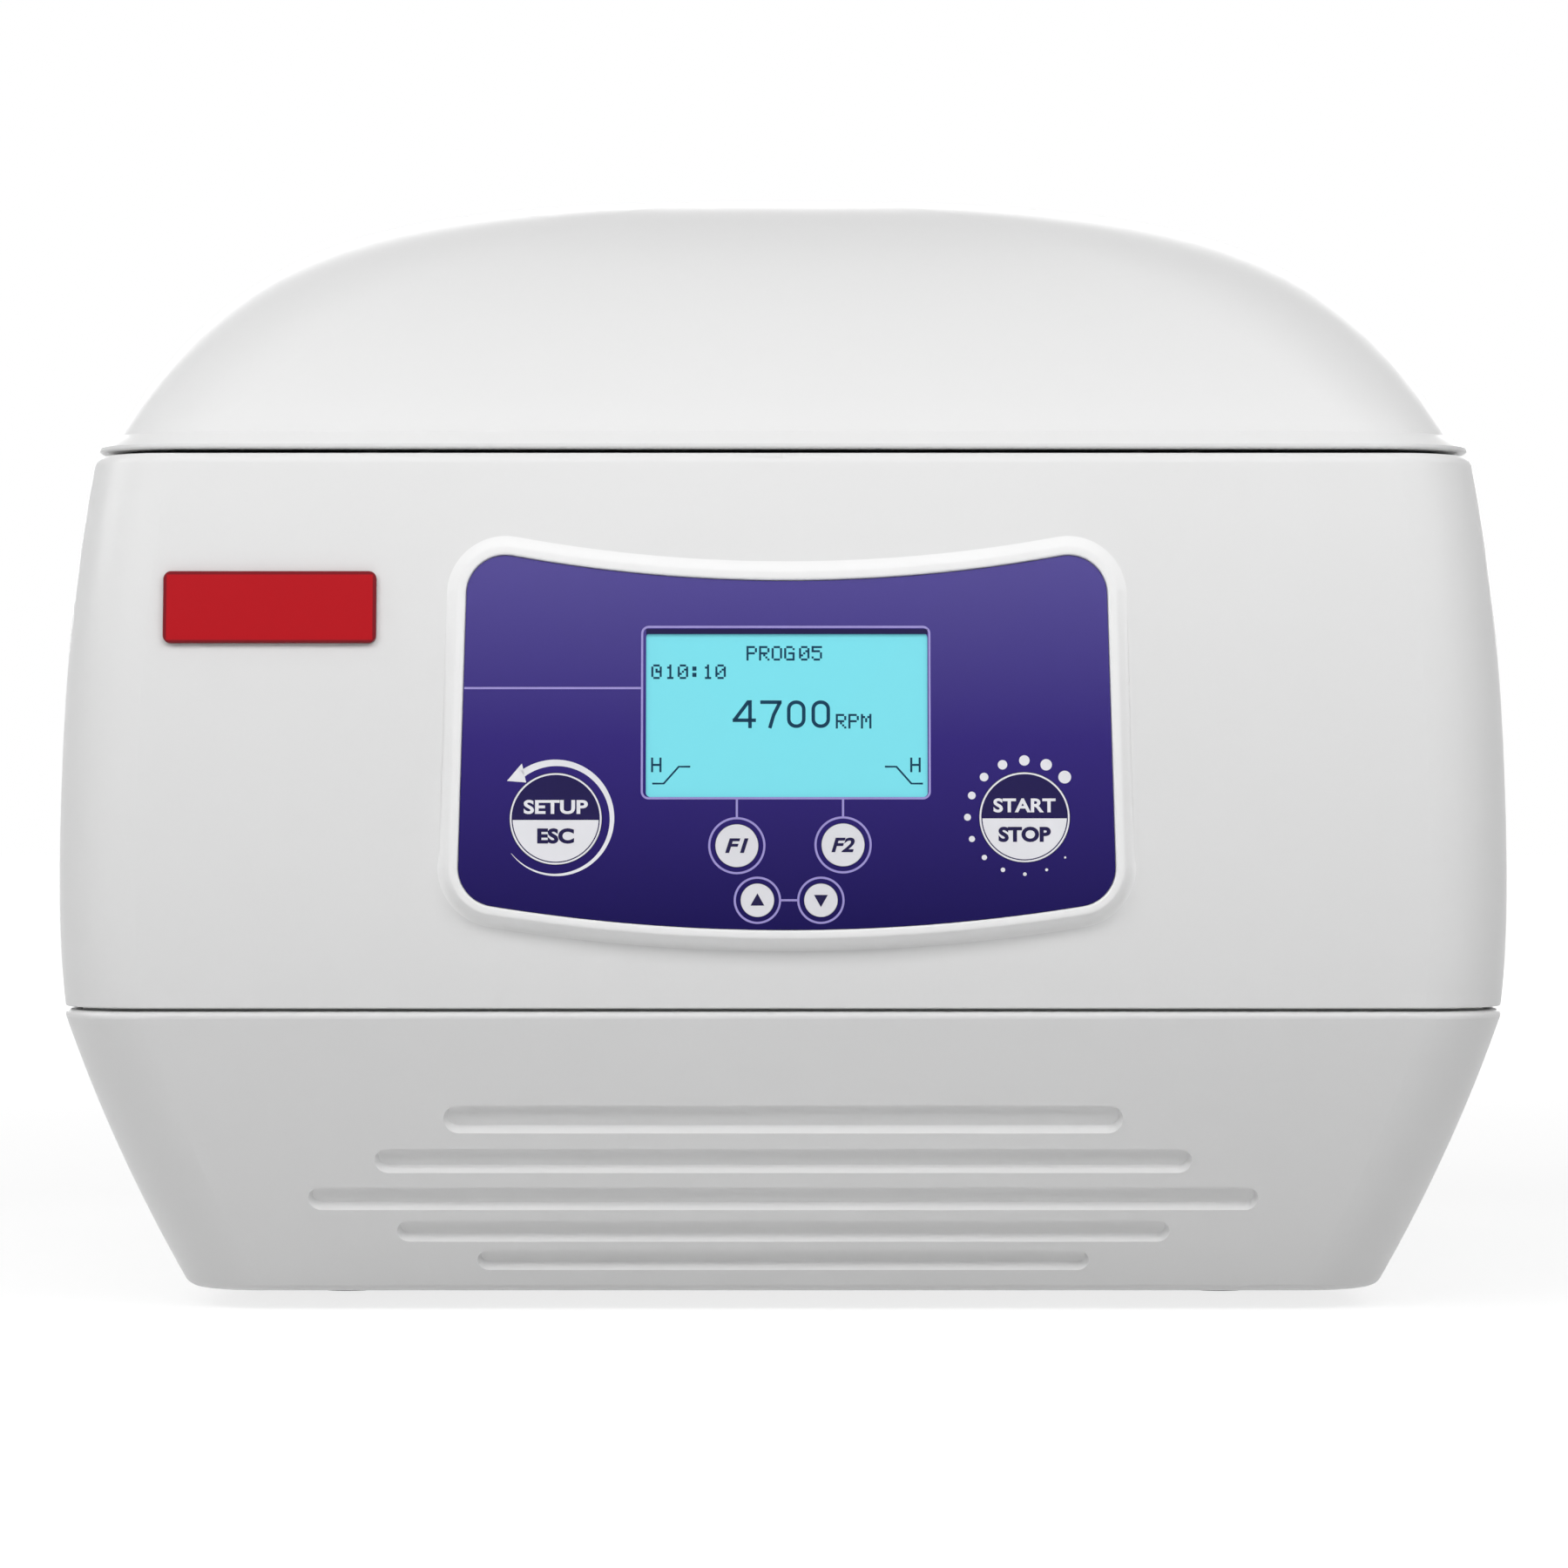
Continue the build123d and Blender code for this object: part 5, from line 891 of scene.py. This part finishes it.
def right_half_outline():
    """The right half from the top middle to the bottom middle, clockwise, as points and
    outward normals. A corner's centre is one corner radius inside both of its edges."""
    top_v, top_radius = circle_through(TOP_END, TOP_CREST)
    low_v, low_radius = circle_through(LOW_END, LOW_CREST)
    side = np.subtract(LOW_END, TOP_END)
    side /= np.linalg.norm(side)
    side_out = np.array([-side[1], side[0]])
    foot = np.array(TOP_END) - side_out * CORNER
    upper = corner_centre(foot, side, top_v, top_radius + CORNER, 0.0, 60.0)
    lower = corner_centre(foot, side, low_v, low_radius - CORNER, 30.0, 110.0)
    top_stop = math.atan2(upper[1] - top_v, upper[0])
    upper_start = math.atan2(top_v - upper[1], -upper[0])
    upper_start = upper_start if upper_start > 0 else upper_start + 2 * math.pi
    straight = math.atan2(side_out[1], side_out[0])
    lower_stop = math.atan2(lower[1] - low_v, lower[0])
    stretches = [
        turn_about((0.0, top_v), top_radius, -math.pi / 2, top_stop, ARC_POINTS, facing=-1.0),
        turn_about(upper, CORNER, upper_start, straight, CORNER_POINTS),
        turn_about(lower, CORNER, straight, lower_stop, CORNER_POINTS),
        turn_about((0.0, low_v), low_radius, lower_stop, -math.pi / 2, ARC_POINTS)]
    spots, normals = zip(*stretches)
    return np.concatenate(spots), np.concatenate(normals)


def both_halves(half):
    """The right half and its mirror image, counter-clockwise, with the ends used once."""
    return np.concatenate([half, (half * (-1.0, 1.0))[::-1][1:-1]])[::-1]


outline, outward = (both_halves(half) for half in right_half_outline())
repeated = np.linalg.norm(outline - np.roll(outline, 1, axis=0), axis=1) < 1e-6
outline, outward = outline[~repeated], outward[~repeated]
print("rim outline:", len(outline), "points, size", np.ptp(outline, axis=0))

# %% [markdown]
# ### The face that the rim runs into
# The skirt has to end exactly in the cabinet's face, which is curved from top to bottom.
# So the face is measured: rays from the front meet the upper shell in a column beside
# the panel, because the shell is open behind it, and one smooth curve is fitted through
# their depths. It is smoother than the flat triangles of the shell.

# %% The cabinet's face
BESIDE = 95.0
FACE_FOOT, FACE_TOP, FACE_RAYS, FACE_DEGREE = 84.0, 214.0, 66, 8
shell = solids["upper_housing"].data
skin = BVHTree.FromPolygons([corner.co for corner in shell.vertices],
                            [face.vertices for face in shell.polygons])


def face_depth(z):
    """The Y at which a straight line from the front meets the upper shell."""
    spot, _, _, _ = skin.ray_cast((BESIDE * MM, -1.0, z * MM), (0.0, 1.0, 0.0))
    return spot[1] / MM


heights = np.linspace(FACE_FOOT, FACE_TOP, FACE_RAYS)
middle_height = (FACE_FOOT + FACE_TOP) / 2
face_fit = np.polyfit(heights - middle_height, [face_depth(z) for z in heights], FACE_DEGREE)


def face_y(z):
    """The front face at height z: a polynomial of degree eight in the height above the
    middle of the measured stretch."""
    return np.polyval(face_fit, z - middle_height)


print("face from", face_y(FACE_FOOT), "to", face_y(FACE_TOP))

# %% [markdown]
# ### Lip, skirt and back
# Each row of the rim is the whole outline, moved out along its normals by one number and
# in or out of the panel by another. The lip's rows come from a short table, and the
# skirt's rows fall from the panel's plane to the face. The last rows go behind the face
# and back inside, which closes the shape.

# %% Rows of the rim
LIP = [(-3.0, -1.62), (0.0, -1.62), (0.0, -0.5), (0.1, -0.22), (0.32, -0.05), (0.65, 0.0),
       (1.2, 0.0)]
LIP_WIDTH, FOOT_WIDTH, SKIRT_ROWS = 1.9, 6.4, 22
EARLY_POWER = 1.8
BURIED = 0.06
UNDER_REACH, UNDER_DEPTH = 4.7, 0.3
BACK_REACH, BACK_INNER, BACK_DEPTH = 4.6, -3.0, -12.0


def outline_row(grow, depth):
    """The outline moved out by grow and in by depth, as points on the leaning panel."""
    spots = outline + outward * grow
    return on_panel(np.column_stack([spots, np.full(len(spots), depth)]))


def skirt_row(share):
    """A row of the skirt: it starts in the panel's plane and ends in the cabinet's face,
    falling by 3f^2 - 2f^3 where f = 1 - (1 - share)^1.8. So it drops soon and runs out
    softly, just below the face."""
    row = outline_row(LIP_WIDTH + (FOOT_WIDTH - LIP_WIDTH) * share, 0.0)
    early = 1.0 - (1.0 - share) ** EARLY_POWER
    fall = early ** 2 * (3.0 - 2.0 * early)
    row[:, 1] = row[:, 1] * (1.0 - fall) + (face_y(row[:, 2]) + BURIED * share) * fall
    return row


under = outline_row(UNDER_REACH, 0.0)
under[:, 1] = face_y(under[:, 2]) + UNDER_DEPTH
rows = [outline_row(grow, depth) for grow, depth in LIP]
rows += [skirt_row(share) for share in np.linspace(0.0, 1.0, SKIRT_ROWS)]
rows += [under, outline_row(BACK_REACH, BACK_DEPTH), outline_row(BACK_INNER, BACK_DEPTH)]
rows = np.array(rows + rows[:1])
print("rim: rows", len(rows), "columns", len(outline))

# %% Rim
rim = piece("panel_rim", rows.reshape(-1, 3), grid_faces(len(rows), len(outline), wrap=True),
            white_rim_painted_light, "cabinet", sharp=50.0)
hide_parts("panel_bezel")
print("rim faces:", len(rim.data.polygons))

# %% [markdown]
# ## Camera
# The machine is seen square on from the front, with the lens level with the middle of its
# front face. A long lens from some way off keeps the sides nearly parallel, as in a
# catalogue view. One helper turns both the camera and the lamps to what they aim at.

# %% Camera
EYE = (0.0002, -1.4545, 0.137)
SENSOR_WIDTH, FOCAL_LENGTH = 36.0, 113.64


def look_at(obj, place, target):
    """Puts a lamp or camera at a place and turns its -Z axis to the target: the turn is
    the direction's compass angle, and the tilt is its angle above the floor."""
    direction = np.subtract(target, place)
    obj.location = place
    turn = math.atan2(-direction[0], direction[1])
    tilt = math.atan2(direction[2], math.hypot(direction[0], direction[1]))
    obj.rotation_euler = (math.pi / 2 + tilt, 0.0, turn)


lens = bpy.data.cameras.new("studio_camera")
lens.sensor_width = SENSOR_WIDTH
lens.lens = FOCAL_LENGTH
camera = bpy.data.objects.new("studio_camera", lens)
bpy.context.scene.collection.objects.link(camera)
look_at(camera, EYE, (EYE[0], 0.0, EYE[2]))
bpy.context.scene.camera = camera
bpy.context.scene.view_settings.view_transform = "Standard"
print("camera", camera.location[:])

# %% [markdown]
# ## Light
# A plain studio. A long strip hangs close in front, just above the lid, and shades the
# front from top to bottom. A wide soft box is overhead, weaker ones stand at both sides
# and over the lid, and one behind keeps the back nearly as pale as the front. Large lamps
# give soft shadows. Square on, no white face burns out. At a low angle, though, the crown
# of the lid and the deck mirror the lamps at the far side, and can turn quite white.

# %% Lamps
def soft_box(name, place, target, width, height, power):
    """A rectangular lamp of that size in metres and power in watts, turned to a target."""
    lamp = bpy.data.lights.new(name, "AREA")
    lamp.shape, lamp.size, lamp.size_y, lamp.energy = "RECTANGLE", width, height, power
    made = bpy.data.objects.new(name, lamp)
    bpy.context.scene.collection.objects.link(made)
    look_at(made, place, target)
    return made


AIM, FRONT_AIM = (0.0, 0.0, 0.16), (0.0, -0.18, 0.18)
light_front = soft_box("light_front", (0.0, -0.62, 0.50), FRONT_AIM, 1.5, 0.25, 4.1)
light_front.visible_glossy = False  # from behind, its reflection would whiten the crown
soft_box("light_over", (0.0, -1.0, 1.9), AIM, 2.0, 0.8, 3.5)
soft_box("light_left", (-1.7, -0.3, 1.2), AIM, 0.8, 1.2, 7.0)
soft_box("light_right", (1.5, -0.2, 1.6), AIM, 0.8, 1.2, 3.0)
soft_box("light_top", (0.0, 0.3, 1.9), AIM, 1.4, 1.4, 2.0)
soft_box("light_back", (0.0, 2.2, 0.7), AIM, 2.4, 0.8, 24.0)
print("lamps:", len(bpy.data.lights))

# %% [markdown]
# ## World and floor
# The background is white for a ray that shows it, which is one to the camera, one that
# is mirrored or one that passes through something clear. For every other ray it is nearly
# dark, so that it doesn't flood the shadows. The floor is stage and no part of the
# object. It works in the same way: what is seen of it is a white glow with a faint shadow
# of the machine, and what lights the machine from below is a plain matt white.

# %% World
AMBIENT = 0.05


def seen_rays(tree):
    """1 for a ray that shows the background itself: to the camera, mirrored, or through
    something clear."""
    path = node(tree, "LightPath")
    seen = path.outputs["Is Camera Ray"]
    for kind in ("Is Glossy Ray", "Is Transmission Ray"):
        seen = node(tree, "Math", {0: seen, 1: path.outputs[kind]},
                    operation="MAXIMUM").outputs[0]
    return seen


def bare_tree(owner):
    """The node tree of a world or a material, emptied."""
    owner.use_nodes = True
    owner.node_tree.nodes.clear()
    return owner.node_tree


world = bpy.data.worlds.new("studio")
bpy.context.scene.world = world
tree = bare_tree(world)
dark = node(tree, "Background", {"Color": (1.0, 1.0, 1.0, 1.0), "Strength": AMBIENT})
pale = node(tree, "Background", {"Color": (1.0, 1.0, 1.0, 1.0)})
choose = node(tree, "MixShader", {0: seen_rays(tree), 1: dark.outputs[0], 2: pale.outputs[0]})
node(tree, "OutputWorld", {"Surface": choose.outputs[0]})
print("world ambient", AMBIENT)

# %% Floor
FLOOR_REACH = 8.0
corners = np.array([(-1, -1, 0), (1, -1, 0), (1, 1, 0), (-1, 1, 0)]) * FLOOR_REACH
floor_mesh = bpy.data.meshes.new("floor")
floor_mesh.from_pydata(corners.tolist(), [], [(0, 1, 2, 3)])
floor = bpy.data.objects.new("floor", floor_mesh)
bpy.context.scene.collection.objects.link(floor)
print("floor at z = 0, reaching", FLOOR_REACH, "m each way")

# %% Floor paint
UNSEEN_WHITE, SEEN_WHITE = (0.80, 0.80, 0.80, 1.0), (0.30, 0.30, 0.30, 1.0)
GLOW_NEAR, GLOW_FAR, GLOW_LOW, GLOW_HIGH = 0.3, 2.2, 0.80, 1.0
floor_paint = bpy.data.materials.new("floor_paint")
tree = bare_tree(floor_paint)
matt = node(tree, "BsdfDiffuse", {"Color": UNSEEN_WHITE})
shadowed = node(tree, "BsdfDiffuse", {"Color": SEEN_WHITE})
away = node(tree, "VectorMath", {0: node(tree, "TexCoord").outputs["Object"]},
            operation="LENGTH")
glow = node(tree, "MapRange", {"Value": away.outputs["Value"], "From Min": GLOW_NEAR,
                               "From Max": GLOW_FAR, "To Min": GLOW_LOW, "To Max": GLOW_HIGH})
white_glow = node(tree, "Emission", {"Strength": glow.outputs["Result"]})
seen = node(tree, "AddShader", {0: shadowed.outputs[0], 1: white_glow.outputs[0]})
both = node(tree, "MixShader", {0: seen_rays(tree), 1: matt.outputs[0], 2: seen.outputs[0]})
node(tree, "OutputMaterial", {"Surface": both.outputs[0]})
floor_mesh.materials.append(floor_paint)
print("floor painted")
